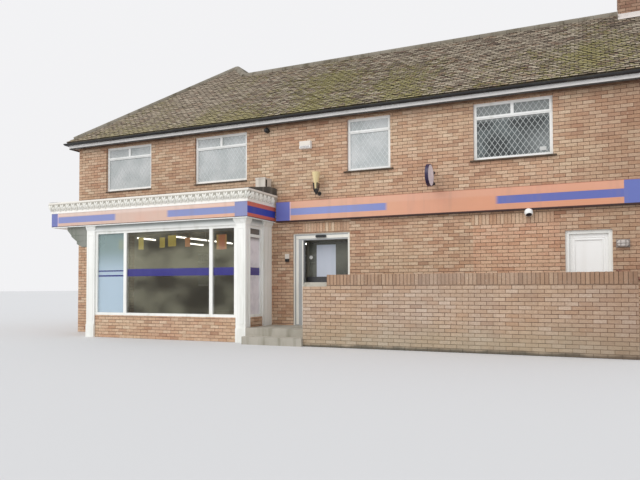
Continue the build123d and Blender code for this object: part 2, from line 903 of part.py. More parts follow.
leaf_left = opening_left - door_overlap
leaf_right = opening_right + door_overlap
leaf_front_y = wall + door_leaf_gap
leaf_top = opening_head + door_overlap
with BuildPart() as door_operator:
    with BuildSketch(elevation(wall + operator_depth)):
        area(leaf_left, leaf_right + slide_travel, leaf_top + hanger_gap, leaf_top + operator_height)
    extrude(amount=operator_depth)
write("door_operator", door_operator)

leaf_bottom = ground_floor_top + door_floor_gap
leaf_pane = (
    leaf_left + door_stile,
    leaf_right - door_stile,
    leaf_bottom + door_bottom_rail,
    leaf_top - door_stile,
)
leaf_plane = elevation(leaf_front_y + door_leaf_thickness)
with BuildPart() as entrance_door:
    with BuildSketch(leaf_plane):
        area(leaf_left, leaf_right, leaf_bottom, leaf_top)
        area(*leaf_pane, Mode.SUBTRACT)
        for x in (leaf_left, leaf_right - hanger_width):
            area(x, x + hanger_width, leaf_top, leaf_top + hanger_gap - running_clearance)
    extrude(amount=door_leaf_thickness)
write("entrance_door", entrance_door)

with BuildPart() as entrance_door_glass:
    with BuildSketch(leaf_plane.offset((door_leaf_thickness - glass_thickness) / 2)):
        area(*leaf_pane)
    extrude(amount=glass_thickness)
write("entrance_door_glass", entrance_door_glass)

# White side door in a rebated frame, hung on the left and opening inwards
side_left = side_door_left + side_door_frame_face
side_right = side_door_right - side_door_frame_face
side_head = side_door_head_z - side_door_frame_face
side_back_y = side_door_setback + side_door_frame_depth
with BuildPart() as side_door_frame:
    with BuildSketch(elevation(side_back_y)):
        area(side_door_left, side_door_right, ground_floor_top, side_door_head_z)
        area(side_left, side_right, ground_floor_top, side_head, Mode.SUBTRACT)
    extrude(amount=side_door_frame_depth)
    with BuildSketch(elevation(side_door_setback + side_door_stop_depth)):
        area(side_left, side_right, ground_floor_top, side_head)
        area(
            side_left + side_door_stop,
            side_right - side_door_stop,
            ground_floor_top,
            side_head - side_door_stop,
            Mode.SUBTRACT,
        )
    extrude(amount=side_door_stop_depth)
write("side_door_frame", side_door_frame)

side_leaf_left = side_left + side_door_clearance
side_leaf_right = side_right - side_door_clearance
side_leaf_low = ground_floor_top + side_door_clearance
side_leaf_high = side_head - side_door_clearance
hinge_x = side_left + side_door_clearance / 2
hinge_y = side_back_y + sqrt((hinge_radius + running_clearance) ** 2 - (side_door_clearance / 2) ** 2)
with BuildPart() as side_door:
    with BuildSketch(elevation(side_back_y)):
        area(side_leaf_left, side_leaf_right, side_leaf_low, side_leaf_high)
    extrude(amount=side_door_thickness)
    with BuildSketch(elevation(side_back_y - side_door_thickness + side_door_panel_sink)):
        panel_left = side_leaf_left + side_door_panel_margin
        panel_right = side_leaf_right - side_door_panel_margin
        rail_low = (side_leaf_low + side_leaf_high - side_door_panel_margin) / 2
        rail_high = rail_low + side_door_panel_margin
        area(panel_left, panel_right, rail_high, side_leaf_high - side_door_panel_margin)
        area(panel_left, panel_right, side_leaf_low + side_door_panel_margin, rail_low)
    extrude(amount=side_door_panel_sink, mode=Mode.SUBTRACT)
    for hinge_z in (side_leaf_low + hinge_height, side_leaf_high - 2 * hinge_height):
        with BuildSketch(plan(hinge_z)):
            with Locations((hinge_x, hinge_y)):
                Circle(hinge_radius)
            plate_right = side_leaf_left + hinge_plate
            area(side_leaf_left, plate_right, side_back_y, side_back_y + hinge_plate_thickness)
        extrude(amount=hinge_height)
write("side_door", side_door)

# Raised landing behind the low wall, with a step down to the front and one to the right
with BuildPart() as landing:
    with BuildSketch(plan(0)):
        area(bay_right + pilaster_base_out, landing_right, -screen_inner_out, 0)
    extrude(amount=ground_floor_top)
    with BuildSketch(plan(0)):
        area(bay_right + step_inset, screen_left, -screen_inner_out - step_going, -screen_inner_out)
        area(landing_right, landing_right + step_going, -screen_inner_out, 0)
    extrude(amount=ground_floor_top / 2)
write("landing", landing)

bevel_end = screen_left + bevel_coping_left_run
with BuildPart() as screen_wall:
    with BuildSketch(elevation(-screen_inner_out)):
        area(screen_left, bevel_end, 0, bevel_coping_bottom)
        area(bevel_end, landing_right, 0, screen_body_top)
    extrude(amount=screen_thickness)
write("screen_wall", screen_wall)

with BuildPart() as screen_coping:
    with BuildSketch(elevation(-screen_inner_out)):
        area(bevel_end, landing_right, screen_body_top, screen_coping_top)
    extrude(amount=screen_thickness)
write("screen_coping", screen_coping)

with BuildPart() as screen_end_coping:
    with BuildSketch(section(screen_left)):
        Polygon(
            (-screen_inner_out, bevel_coping_bottom),
            (-screen_inner_out, bevel_coping_top),
            (-screen_out + bevel_coping_top - bevel_coping_bottom, bevel_coping_top),
            (-screen_out, bevel_coping_bottom),
            align=None,
        )
    extrude(amount=bevel_coping_left_run)
write("screen_end_coping", screen_end_coping)

# Handrail on the wall over the step at the right
rail_start = left + side_door_right + handrail_from_door
rail_end = left + length - handrail_from_end
rail_points = [
    (rail_start, front, handrail_high_z),
    (rail_start, front - handrail_out, handrail_high_z),
    (rail_end, front - handrail_out, handrail_low_z),
    (rail_end, front, handrail_low_z),
]
with BuildPart() as handrail:
    with BuildLine() as rail_line:
        FilletPolyline(*rail_points, radius=handrail_out / 2)
    with BuildSketch(Plane(origin=rail_line.line @ 0, z_dir=(0, -1, 0))):
        Circle(handrail_radius)
    sweep()
write("handrail", handrail)

# Small fittings on the front wall
with BuildPart() as siren_box:
    with BuildSketch(elevation(0)):
        with Locations((siren_x, siren_z)):
            RectangleRounded(siren_width, siren_height, siren_corner)
    extrude(amount=siren_depth, taper=siren_taper)
write("siren_box", siren_box)

camera_x = side_door_left - camera_from_door
camera_z = wall_sign_bottom - camera_gap
with BuildPart() as dome_camera:
    with BuildSketch(elevation(0)):
        with Locations((camera_x, camera_z - camera_radius)):
            RectangleRounded(camera_base, camera_base, camera_base_corner)
    extrude(amount=camera_radius)
    with Locations(Plane(origin=(left + camera_x, front - camera_radius, camera_z - camera_radius))):
        Sphere(camera_radius)
    split(bisect_by=elevation(0), keep=Keep.TOP)
write("dome_camera", dome_camera)

# Uplighter: an open tapered shade on a foot, held off the wall by an arm
lamp_inner_foot = lamp_foot_radius - lamp_shade_wall
lamp_inner_rim = lamp_rim_radius - lamp_shade_wall
with BuildPart() as wall_lamp:
    with BuildSketch(elevation(0)):
        with Locations((lamp_x, lamp_foot_z + lamp_plate_radius)):
            Circle(lamp_plate_radius)
    extrude(amount=lamp_plate_thickness)
    with BuildSketch(elevation(0)):
        with Locations((lamp_x, lamp_foot_z + lamp_plate_radius)):
            Circle(lamp_arm_radius)
    extrude(amount=lamp_out)
    with BuildSketch(Plane(origin=(left + lamp_x, front - lamp_out, 0), x_dir=(1, 0, 0), z_dir=(0, -1, 0))):
        Polygon(
            (0, lamp_foot_z),
            (lamp_foot_radius, lamp_foot_z),
            (lamp_foot_radius, lamp_shade_z),
            (lamp_rim_radius, lamp_top_z),
            (lamp_inner_rim, lamp_top_z),
            (lamp_inner_foot, lamp_shade_z),
            (0, lamp_shade_z),
            align=None,
        )
    revolve(axis=Axis((left + lamp_x, front - lamp_out, 0), (0, 0, 1)))
write("wall_lamp", wall_lamp)

with BuildPart() as bulkhead_light:
    with BuildSketch(elevation(0)):
        with Locations((side_door_right + bulkhead_from_door, bulkhead_z)):
            RectangleRounded(bulkhead_width, bulkhead_height, bulkhead_height / 2 - 1)
    extrude(amount=bulkhead_depth)
    fillet(bulkhead_light.faces().sort_by(Axis.Y)[0].edges(), radius=bulkhead_depth / 3)
write("bulkhead_light", bulkhead_light)

sign_centre_y = -projecting_sign_arm - projecting_sign_width / 2
with BuildPart() as projecting_sign:
    with BuildSketch(section(projecting_sign_x - projecting_sign_thickness / 2)):
        with Locations((sign_centre_y, projecting_sign_z)):
            Ellipse(projecting_sign_width / 2, projecting_sign_height / 2)
    extrude(amount=projecting_sign_thickness)
    with BuildSketch(elevation(0)):
        with Locations((projecting_sign_x, projecting_sign_z)):
            with GridLocations(0, projecting_sign_bar_spacing, 1, 2):
                Rectangle(projecting_sign_bar, projecting_sign_bar)
    extrude(amount=-sign_centre_y)
write("projecting_sign", projecting_sign)
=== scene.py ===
from functools import cached_property
from math import atan, ceil, cos, floor, pi, radians, sin, tan

import bpy
import numpy as np
from mathutils import Matrix, Vector


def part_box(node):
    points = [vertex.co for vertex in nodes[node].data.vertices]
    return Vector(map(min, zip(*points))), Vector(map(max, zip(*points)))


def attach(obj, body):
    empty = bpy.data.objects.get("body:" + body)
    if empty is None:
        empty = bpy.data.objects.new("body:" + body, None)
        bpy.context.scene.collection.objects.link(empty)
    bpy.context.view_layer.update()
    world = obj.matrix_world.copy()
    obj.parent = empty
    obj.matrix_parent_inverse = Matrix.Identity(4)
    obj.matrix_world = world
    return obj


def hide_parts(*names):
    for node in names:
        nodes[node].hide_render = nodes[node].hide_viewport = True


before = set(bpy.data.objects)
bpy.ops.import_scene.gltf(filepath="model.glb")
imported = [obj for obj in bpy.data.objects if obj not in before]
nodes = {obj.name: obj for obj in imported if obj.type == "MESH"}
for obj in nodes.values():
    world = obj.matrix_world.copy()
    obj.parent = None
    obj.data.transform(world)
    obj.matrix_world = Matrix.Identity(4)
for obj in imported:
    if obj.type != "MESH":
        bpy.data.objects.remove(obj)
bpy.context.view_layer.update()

# Looks of the corner shop, in metres, in the frame of the construction
HOUSE = "building"
SLIDING_DOOR = "sliding_door"
SIDE_DOOR = "side_door_leaf"
UP = Vector((0, 0, 1))
FRONT, BACK, LEFT, RIGHT = (1, 0, 0), (-1, 0, 0), (0, -1, 0), (0, 1, 0)

# The front left corner of the walls, which most places are given from
CORNER_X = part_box("left_wall")[0].x
FRONT_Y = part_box("front_wall_middle")[0].y
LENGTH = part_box("front_wall_upper")[1].x - CORNER_X
WING_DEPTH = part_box("wing_back_wall")[1].y - FRONT_Y
WING_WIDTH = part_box("wing_right_wall")[1].x - CORNER_X
RANGE_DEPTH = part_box("range_back_wall")[1].y - FRONT_Y
EAVES_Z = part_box("fascia_boards")[0].z
LANDING_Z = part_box("landing")[1].z
CEILING_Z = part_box("first_floor")[0].z

# Roof
PITCH = radians(38.5)
TILE_EDGE_OUT = 0.24
TILE_EDGE_Z = 5.38
TILE_WIDTH = 0.165
TILE_GAUGE = 0.1
TILE_THICKNESS = 0.014
RIDGE_TILE_LENGTH = 0.33
RIDGE_TILE_SINK = 0.06
RIDGE_TILE_RADIUS = 0.125
RIDGE_TILE_GAP = 0.008
RIDGE_BED_RADIUS = 0.113
RIDGE_Z = TILE_EDGE_Z + tan(PITCH) * (RANGE_DEPTH / 2 + TILE_EDGE_OUT)

# Brickwork: pitch of the bond, and how far a brick stands out from its mortar
BRICK_LENGTH = 0.225
COURSE = 0.075
JOINT = 0.01
BRICK_PROUD = 0.006
BRICK_DEEP = 0.006
BRICK_MODULE = 0.0375
BRICK_LEAN = 0.012
BRICK_LIFT = 0.0022
CORNER_LAP = 0.003
SOLDIER_HEIGHT = 0.215
FIRST_SOLDIER_Z = 2.55
LAST_SOLDIER_Z = 2.775
COPING_SOLDIERS = 77
SILL_THICKNESS = 0.032
CHIMNEY_BAND = 0.045
CHIMNEY_FOOT = -1.28

# How far inside the outer walls brick gives way to plaster
PLASTER_IN = 0.15
PLASTER_IN_FRONT = 0.2

# Canopy, its leaves, and the shopfront under it
CANOPY_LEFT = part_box("canopy_boards")[0].x - CORNER_X
CANOPY_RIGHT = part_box("canopy_boards")[1].x - CORNER_X
CANOPY_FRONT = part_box("canopy_boards")[0].y - FRONT_Y
LEAF_PITCH = 0.192
FIRST_LEAF_X = 0.451
LEAF_COUNT = 31
LEAF_OUT = 0.066
LEAF_Z = 3.338
SHOPFRONT_Y = -1.25
SHOPFRONT_LEFT = 1.54
SHOPFRONT_RIGHT = 6.21
SHOPFRONT_BASE_Z = 0.56
PANE_BACK_Y = -1.155
CARD_Y = -1.12
TUBE_Z = 2.65
BLUE_BAND = (1.53, 1.71)

# Signs and leading
DISC_HALF_WIDTH = 0.27
DISC_MIDDLE_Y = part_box("projecting_sign")[0].y + DISC_HALF_WIDTH
DIAMOND_WIDTH = 0.115
DIAMOND_HEIGHT = 0.163
CAME_WIDTH = 0.009
CAME_DEPTH = 0.006


def at(x, y, z):
    """A place measured from the front left corner of the walls, at pavement level."""
    return Vector((CORNER_X + x, FRONT_Y + y, z))


# Modelling helpers
def pick(*pieces):
    bpy.ops.object.select_all(action="DESELECT")
    for piece in pieces:
        piece.select_set(True)
    bpy.context.view_layer.objects.active = pieces[0]


def settle(piece):
    """Moves a piece's place, turn and size into its mesh."""
    pick(piece)
    bpy.ops.object.transform_apply(location=True, rotation=True, scale=True)
    return piece


def primitive(add, stretch=(1, 1, 1), tilt=(0, 0, 0), towards=None, **settings):
    """A new primitive, stretched and turned, with both settled into its mesh."""
    bpy.ops.object.select_all(action="DESELECT")
    add(**settings)
    piece = bpy.context.object
    piece.scale = stretch
    piece.rotation_euler = tilt
    if towards is not None:
        piece.rotation_mode = "QUATERNION"
        piece.rotation_quaternion = towards.to_track_quat("Z", "Y")
    return settle(piece)


def block(low, high):
    """Box between two corners."""
    low, high = Vector(low), Vector(high)
    return primitive(bpy.ops.mesh.primitive_cube_add, high - low, size=1, location=(low + high) / 2)


def rod(start, end, radius, sides=16):
    """Round bar between two points."""
    start, end = Vector(start), Vector(end)
    return primitive(
        bpy.ops.mesh.primitive_cylinder_add, towards=end - start, location=(start + end) / 2,
        depth=(end - start).length, radius=radius, vertices=sides,
    )


def cone(start, end, start_radius, end_radius, sides=24):
    """Tapered round bar between two points."""
    start, end = Vector(start), Vector(end)
    return primitive(
        bpy.ops.mesh.primitive_cone_add, towards=end - start, location=(start + end) / 2,
        depth=(end - start).length, radius1=start_radius, radius2=end_radius, vertices=sides,
    )


def ball(middle, radii, segments=16, rings=8):
    return primitive(
        bpy.ops.mesh.primitive_uv_sphere_add, radii, segments=segments, ring_count=rings, radius=1, location=middle
    )


def change(piece, kind, **settings):
    """Adds a modifier, sets it and applies it."""
    pick(piece)
    modifier = piece.modifiers.new(kind.title(), kind)
    for name, value in settings.items():
        setattr(modifier, name, value)
    bpy.ops.object.modifier_apply(modifier=modifier.name)
    return piece


def soften(piece, width, segments=2):
    return change(piece, "BEVEL", width=width, segments=segments, limit_method="ANGLE")


def board(low, high, width, segments=2):
    """Box between two corners, its edges softened."""
    return soften(block(low, high), width, segments)


def repeat(piece, count, step):
    return change(
        piece, "ARRAY", count=count, use_relative_offset=False, use_constant_offset=True, constant_offset_displace=step
    )


def trim(piece, *cuts):
    """Cuts off what lies beyond each plane, given as (point, outward), and closes the cuts."""
    pick(piece)
    bpy.ops.object.mode_set(mode="EDIT")
    for point, outward in cuts:
        bpy.ops.mesh.select_all(action="SELECT")
        bpy.ops.mesh.bisect(plane_co=point, plane_no=outward, use_fill=True, clear_outer=True)
    bpy.ops.object.mode_set(mode="OBJECT")
    return piece


def trim_to(piece, left, right, low, high):
    """Cuts a piece in the XY plane down to a rectangle."""
    return trim(
        piece, ((left, 0, 0), BACK), ((right, 0, 0), FRONT), ((0, low, 0), LEFT), ((0, high, 0), RIGHT)
    )


def work_on(piece, kind, chosen, *steps):
    """Selects the corners or faces that a test picks, and runs edit mode steps, given as (operator, settings)."""
    pick(piece)
    bpy.ops.object.mode_set(mode="EDIT")
    bpy.ops.mesh.select_mode(type=kind)
    bpy.ops.mesh.select_all(action="DESELECT")
    bpy.ops.object.mode_set(mode="OBJECT")
    for part in piece.data.vertices if kind == "VERT" else piece.data.polygons:
        part.select = chosen(part)
    bpy.ops.object.mode_set(mode="EDIT")
    for operator, settings in steps:
        operator(**settings)
    bpy.ops.object.mode_set(mode="OBJECT")
    return piece


def turn(piece, angle, axis, about=(0, 0, 0)):
    """Turns a finished mesh round a point."""
    about = Vector(about)
    piece.matrix_world = Matrix.Translation(about) @ Matrix.Rotation(angle, 4, axis) @ Matrix.Translation(-about)
    return settle(piece)


def move(piece, offset):
    piece.location = Vector(piece.location) + Vector(offset)
    return settle(piece)


def twin(piece, offset=(0, 0, 0)):
    """Copy with its own mesh, moved by an offset."""
    other = piece.copy()
    other.data = piece.data.copy()
    bpy.context.scene.collection.objects.link(other)
    return move(other, offset)


def join(pieces):
    pick(*pieces)
    if len(pieces) > 1:
        bpy.ops.object.join()
    return bpy.context.view_layer.objects.active


def place(piece, origin, along, up=UP):
    """Stands a piece made in the XY plane on a plane given by two directions."""
    along, up = Vector(along).normalized(), Vector(up).normalized()
    turned = Matrix((along, up, along.cross(up))).transposed().to_4x4()
    piece.matrix_world = Matrix.Translation(Vector(origin)) @ turned
    return settle(piece)


def solids_of(node):
    """Low and high corner of each loose solid in a node."""
    mesh = nodes[node].data
    ties = list(range(len(mesh.vertices)))

    def root(index):
        while ties[index] != index:
            ties[index] = ties[ties[index]]
            index = ties[index]
        return index

    first_at = {}
    for vertex in mesh.vertices:
        key = tuple(round(part, 4) for part in vertex.co)
        ties[vertex.index] = root(first_at.setdefault(key, vertex.index))
    for polygon in mesh.polygons:
        start = root(polygon.vertices[0])
        for index in polygon.vertices[1:]:
            ties[root(index)] = start
    solids = {}
    for vertex in mesh.vertices:
        solids.setdefault(root(vertex.index), []).append(vertex.co)
    return [tuple(Vector(map(limit, zip(*corners))) for limit in (min, max)) for corners in solids.values()]


def places_in(piece, corners):
    """Places of a repeated mesh's corners, by body, corner and axis."""
    places = np.empty(len(piece.data.vertices) * 3, np.float32)
    piece.data.vertices.foreach_get("co", places)
    return places.reshape(-1, corners, 3)


def keep_values(piece, name, domain, values):
    kept = piece.data.attributes.new(name, "FLOAT", domain)
    kept.data.foreach_set("value", values.ravel().astype(np.float32))


def tone_each(piece, corners, faces, seed, lift=0.0, tip=0.0):
    """Gives each small body of a repeated mesh its own tone, and lifts and tips it a little.

    Each corner also keeps its side, -1 to 1, and its rise, 0 to 1, for shading that follows the body."""
    draw = np.random.default_rng(seed)
    places = places_in(piece, corners)
    count = len(places)
    middle = places.mean(axis=1, keepdims=True)
    sides = np.sign(places[:, :, 0] - middle[:, :, 0])
    rises = places[:, :, 1] > middle[:, :, 1]
    slant = (places[:, :, 0] - middle[:, :, 0]) * draw.normal(0, tip, (count, 1))
    places[:, :, 2] += draw.normal(0, lift, (count, 1)) + slant
    piece.data.vertices.foreach_set("co", places.ravel())
    keep_values(piece, "tone", "FACE", np.repeat(draw.random(count), faces))
    keep_values(piece, "across", "POINT", sides)
    keep_values(piece, "rise", "POINT", rises)
    piece.data.update()
    return piece


def coat(mesh, finish):
    mesh.materials.clear()
    mesh.materials.append(FINISHES[finish])


def dress(piece, name, finish, body=HOUSE, stands_for=()):
    """Names a finished piece, paints it, and says what it rides on and stands for."""
    settle(piece)
    piece.name = piece.data.name = name
    coat(piece.data, finish)
    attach(piece, body)
    if stands_for:
        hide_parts(*stands_for)
    return piece


# Material helpers
FINISHES = {}


def linear(colour):
    """Turns a colour as it shows on a screen, 0 to 255, into the values that a material takes."""
    if isinstance(colour, bpy.types.NodeSocket) or len(colour) == 4:
        return colour
    values = [part / 255 for part in colour]
    return (*(part / 12.92 if part <= 0.04045 else ((part + 0.055) / 1.055) ** 2.4 for part in values), 1.0)


class Effect:
    """A node tree in the making. Each method adds nodes and returns what they give."""

    def __init__(self, tree):
        self.tree = tree

    def add(self, kind, inputs=None, **settings):
        made = self.tree.nodes.new("ShaderNode" + kind)
        for name, value in settings.items():
            setattr(made, name, value)
        for key, value in (inputs or {}).items():
            if isinstance(value, bpy.types.NodeSocket):
                self.tree.links.new(value, made.inputs[key])
            else:
                made.inputs[key].default_value = value
        return made.outputs

    def use(self, group, **inputs):
        return self.add("Group", inputs, node_tree=group)

    def attribute(self, name):
        return self.add("Attribute", attribute_name=name)["Fac"]

    @cached_property
    def where(self):
        """The surface's place, measured from the front left corner of the walls."""
        here = self.add("TexCoord")["Object"]
        return self.add("Mapping", {"Vector": here, "Location": (-CORNER_X, -FRONT_Y, 0)})[0]

    @cached_property
    def xyz(self):
        return self.add("SeparateXYZ", {0: self.where})

    @cached_property
    def side(self):
        """How far the surface faces left or right, 0 to 1."""
        facing = self.add("NewGeometry")["Normal"]
        return self.math("ABSOLUTE", self.add("SeparateXYZ", {0: facing})[0])

    @cached_property
    def weather(self):
        return self.use(WEATHER)

    def math(self, operation, first, second=0.0, third=0.0):
        return self.add("Math", {0: first, 1: second, 2: third}, operation=operation)[0]

    def times(self, first, second):
        return self.math("MULTIPLY", first, second)

    def plus(self, first, second):
        return self.math("ADD", first, second)

    def most(self, first, second):
        return self.math("MAXIMUM", first, second)

    def rest(self, value):
        return self.math("SUBTRACT", 1.0, value)

    def add_share(self, value, share, to):
        return self.math("MULTIPLY_ADD", value, share, to)

    def blend(self, factor, first, second):
        return self.add("Mix", {0: factor, 6: linear(first), 7: linear(second)}, data_type="RGBA")[2]

    def tint(self, colour, mask, amount, other):
        """Blends another colour in where a mask says, as far as an amount."""
        return self.blend(self.times(mask, amount), colour, other)

    def ramp(self, value, stops):
        """Colour by value, from stops of (place, red, green, blue)."""
        made = self.add("ValToRGB", {0: value})[0]
        elements = made.node.color_ramp.elements
        while len(elements) < len(stops):
            elements.new(0.5)
        for element, (position, *colour) in zip(elements, stops):
            element.position = position
            element.color = linear(colour)
        return made

    def fade(self, value, low, high):
        """0 below low, 1 above high, smooth between. Swapped limits turn it round."""
        limits = {0: value, 1: low, 2: high, 3: 0.0, 4: 1.0}
        return self.add("MapRange", limits, interpolation_type="SMOOTHSTEP")[0]

    def between(self, value, low, high, edge=0.004):
        """1 between two limits, 0 outside them, with edges as wide as stated."""
        inside = self.fade(value, low - edge, low + edge)
        return self.times(inside, self.fade(value, high + edge, high - edge))

    def noise(self, scale, detail=3.0, roughness=0.55, stretch=None):
        vector = self.add("Mapping", {"Vector": self.where, "Scale": stretch})[0] if stretch else self.where
        inputs = {"Vector": vector, "Scale": scale, "Detail": detail, "Roughness": roughness}
        return self.add("TexNoise", inputs)["Fac"]


class Surface(Effect):
    """A material in the making."""

    def __init__(self, name, roughness=0.6, metallic=0.0, alpha=1.0):
        material = bpy.data.materials.new(name)
        material.use_nodes = True
        super().__init__(material.node_tree)
        self.shader = self.tree.nodes["Principled BSDF"].inputs
        for key, value in (("Roughness", roughness), ("Metallic", metallic), ("Alpha", alpha)):
            self.shader[key].default_value = value
        FINISHES[name] = material

    def finish(self, colour, height=None, strength=0.1, distance=0.001):
        """Gives the shader its colour and, with a height, its relief."""
        self.tree.links.new(colour, self.shader["Base Color"])
        if height:
            bump = self.add("Bump", {"Height": height, "Strength": strength, "Distance": distance})
            self.tree.links.new(bump[0], self.shader["Normal"])


# Effects that several materials share
def new_group(name, outputs, inputs=""):
    """Empty node group with its sockets. Plane is a vector, and the others are values."""
    tree = bpy.data.node_groups.new(name, "ShaderNodeTree")
    for way, names in (("INPUT", inputs), ("OUTPUT", outputs)):
        for socket in names.split():
            kind = "NodeSocketVector" if socket == "Plane" else "NodeSocketFloat"
            tree.interface.new_socket(socket, in_out=way, socket_type=kind)
    return Effect(tree), tree.nodes.new("NodeGroupInput").outputs, tree.nodes.new("NodeGroupOutput").inputs


def close_group(effect, leave, **values):
    for name, value in values.items():
        effect.tree.links.new(value, leave[name])
    return effect.tree


def make_wall_plane():
    """Place on an upright wall: along it and up it, whichever way it faces."""
    effect, _, leave = new_group("wall_plane", "Plane")
    across, back, height = effect.xyz
    turned = effect.math("GREATER_THAN", effect.side, 0.7)
    along = effect.add("Mix", {0: turned, 2: across, 3: back})[0]
    return close_group(effect, leave, Plane=effect.add("CombineXYZ", {0: along, 1: height})[0])


def make_bond():
    """Stretcher bond: where the joints are, and a tone for each brick."""
    effect, entry, leave = new_group("brick_bond", "Joint Tone", "Plane")
    bricks = effect.add("TexBrick", {
        "Vector": entry["Plane"], "Color1": (0, 0, 0, 1), "Color2": (1, 1, 1, 1), "Mortar": (0.5, 0.5, 0.5, 1),
        "Scale": 1.0, "Mortar Size": JOINT / 2, "Mortar Smooth": 0.15, "Brick Width": BRICK_LENGTH,
        "Row Height": COURSE,
    })
    return close_group(effect, leave, Joint=bricks["Fac"], Tone=bricks["Color"])


def make_weather():
    """Weathering: broad patches, streaks that run down, and fine grain."""
    effect, _, leave = new_group("weather", "Patch Streak Grain")
    patch = effect.fade(effect.noise(0.9, 4.0), 0.38, 0.66)
    streak = effect.fade(effect.noise(5.0, 4.0, stretch=(1.0, 1.0, 0.12)), 0.48, 0.72)
    return close_group(effect, leave, Patch=patch, Streak=streak, Grain=effect.noise(160.0))


def make_height():
    """Height above the pavement, uneven by a stated amount."""
    effect, entry, leave = new_group("ragged_height", "Height", "Ragged")
    wobble = effect.times(effect.math("SUBTRACT", effect.noise(2.2, 5.0), 0.5), entry["Ragged"])
    return close_group(effect, leave, Height=effect.plus(effect.xyz[2], wobble))


def make_indoors():
    """1 on what lies inside the outer walls, where brick gives way to plaster."""
    effect, _, leave = new_group("indoors", "Indoors")
    across, back, _ = effect.xyz
    in_wing = effect.math("LESS_THAN", across, WING_WIDTH - PLASTER_IN)
    depth = effect.add_share(in_wing, WING_DEPTH - RANGE_DEPTH, RANGE_DEPTH - PLASTER_IN)
    mask = effect.math("GREATER_THAN", across, PLASTER_IN)
    for operation, value, limit in (
        ("LESS_THAN", across, LENGTH - PLASTER_IN), ("GREATER_THAN", back, PLASTER_IN_FRONT),
        ("LESS_THAN", back, depth),
    ):
        mask = effect.times(mask, effect.math(operation, value, limit))
    return close_group(effect, leave, Indoors=mask)


INDOORS = make_indoors()
WALL_PLANE = make_wall_plane()
BOND = make_bond()
WEATHER = make_weather()
HEIGHT = make_height()


# Finishes
def brick_finish(name, stops, patch, bonded=False, algae=False):
    """Brick with a tone for each brick and weathering. Where it is bonded, the joints are painted too."""
    s = Surface(name, 0.9)
    if bonded:
        bond = s.use(BOND, Plane=s.use(WALL_PLANE)["Plane"])
    colour = s.ramp(bond["Tone"] if bonded else s.attribute("tone"), stops)
    colour = s.blend(0.3, colour, s.blend(s.weather["Patch"], patch[0], patch[1]))
    colour = s.tint(colour, s.fade(s.noise(34.0, 4.0, 0.7), 0.42, 0.7), 0.42, patch[2])
    colour = s.tint(colour, s.fade(s.noise(19.0, 5.0, 0.7), 0.56, 0.74), 0.45, patch[3])
    if bonded:
        behind_bricks = s.math("LESS_THAN", s.math("ABSOLUTE", s.xyz[1]), 0.003)
        # Mortar in the joints, with painted shade in its beds
        colour = s.blend(s.most(bond["Joint"], behind_bricks), colour, joint_colour_with_bed_shade(s))
    if algae:
        low = s.fade(s.use(HEIGHT, Ragged=0.5)["Height"], 0.75, 0.05)
        colour = s.tint(colour, low, 0.45, (158, 152, 128))
        foot = s.fade(s.use(HEIGHT, Ragged=0.12)["Height"], 0.09, 0.02)
        colour = s.blend(foot, colour, (96, 90, 78))
    colour = s.tint(colour, s.weather["Streak"], 0.16, patch[2])
    colour = s.tint(colour, s.fade(s.xyz[0], 12.0, 14.4), 0.34, (112, 78, 58))
    if bonded:
        colour = s.blend(s.use(INDOORS)["Indoors"], colour, (196, 190, 176))
    height = s.add_share(s.weather["Grain"], 0.8, s.noise(260.0, 2.0))
    if bonded:
        height = s.add_share(height, 0.25, s.rest(bond["Joint"]))
    s.finish(colour, height, 0.5, 0.003)


def joint_colour_with_bed_shade(s):
    """Mortar, partly dirty and partly painted shade: darker in the beds between the courses, where shade falls under
    the bricks, and paler in the upright joints.
    """
    bed = s.fade(s.math("PINGPONG", s.xyz[2], COURSE / 2), 0.011, 0.007)
    # Noise that makes the joints darker and paler in patches, for dirt and for deeper painted shade
    depth = s.fade(s.noise(4.5, 4.0, stretch=(1.0, 1.0, 3.0)), 0.38, 0.62)
    beds = s.blend(depth, (66, 46, 34), (116, 88, 68))
    return s.blend(bed, s.blend(depth, (112, 84, 66), (146, 116, 92)), beds)


def mortar_finish():
    """Mortar that shows between the bricks of the coping and the chimney."""
    s = Surface("mortar", 0.95)
    s.finish(s.blend(s.weather["Patch"], (96, 76, 60), (142, 122, 102)), s.weather["Grain"], 0.6, 0.003)


def plain_finish(name, colour, dirt, roughness=0.5, amount=0.35, grain=0.1, metallic=0.0, alpha=1.0):
    """Paint, plastic, clay or metal with patches and streaks of dirt."""
    s = Surface(name, roughness, metallic, alpha)
    mask = s.plus(s.times(s.weather["Patch"], amount * 0.5), s.times(s.weather["Streak"], amount))
    s.finish(s.blend(mask, colour, dirt), s.weather["Grain"], grain)


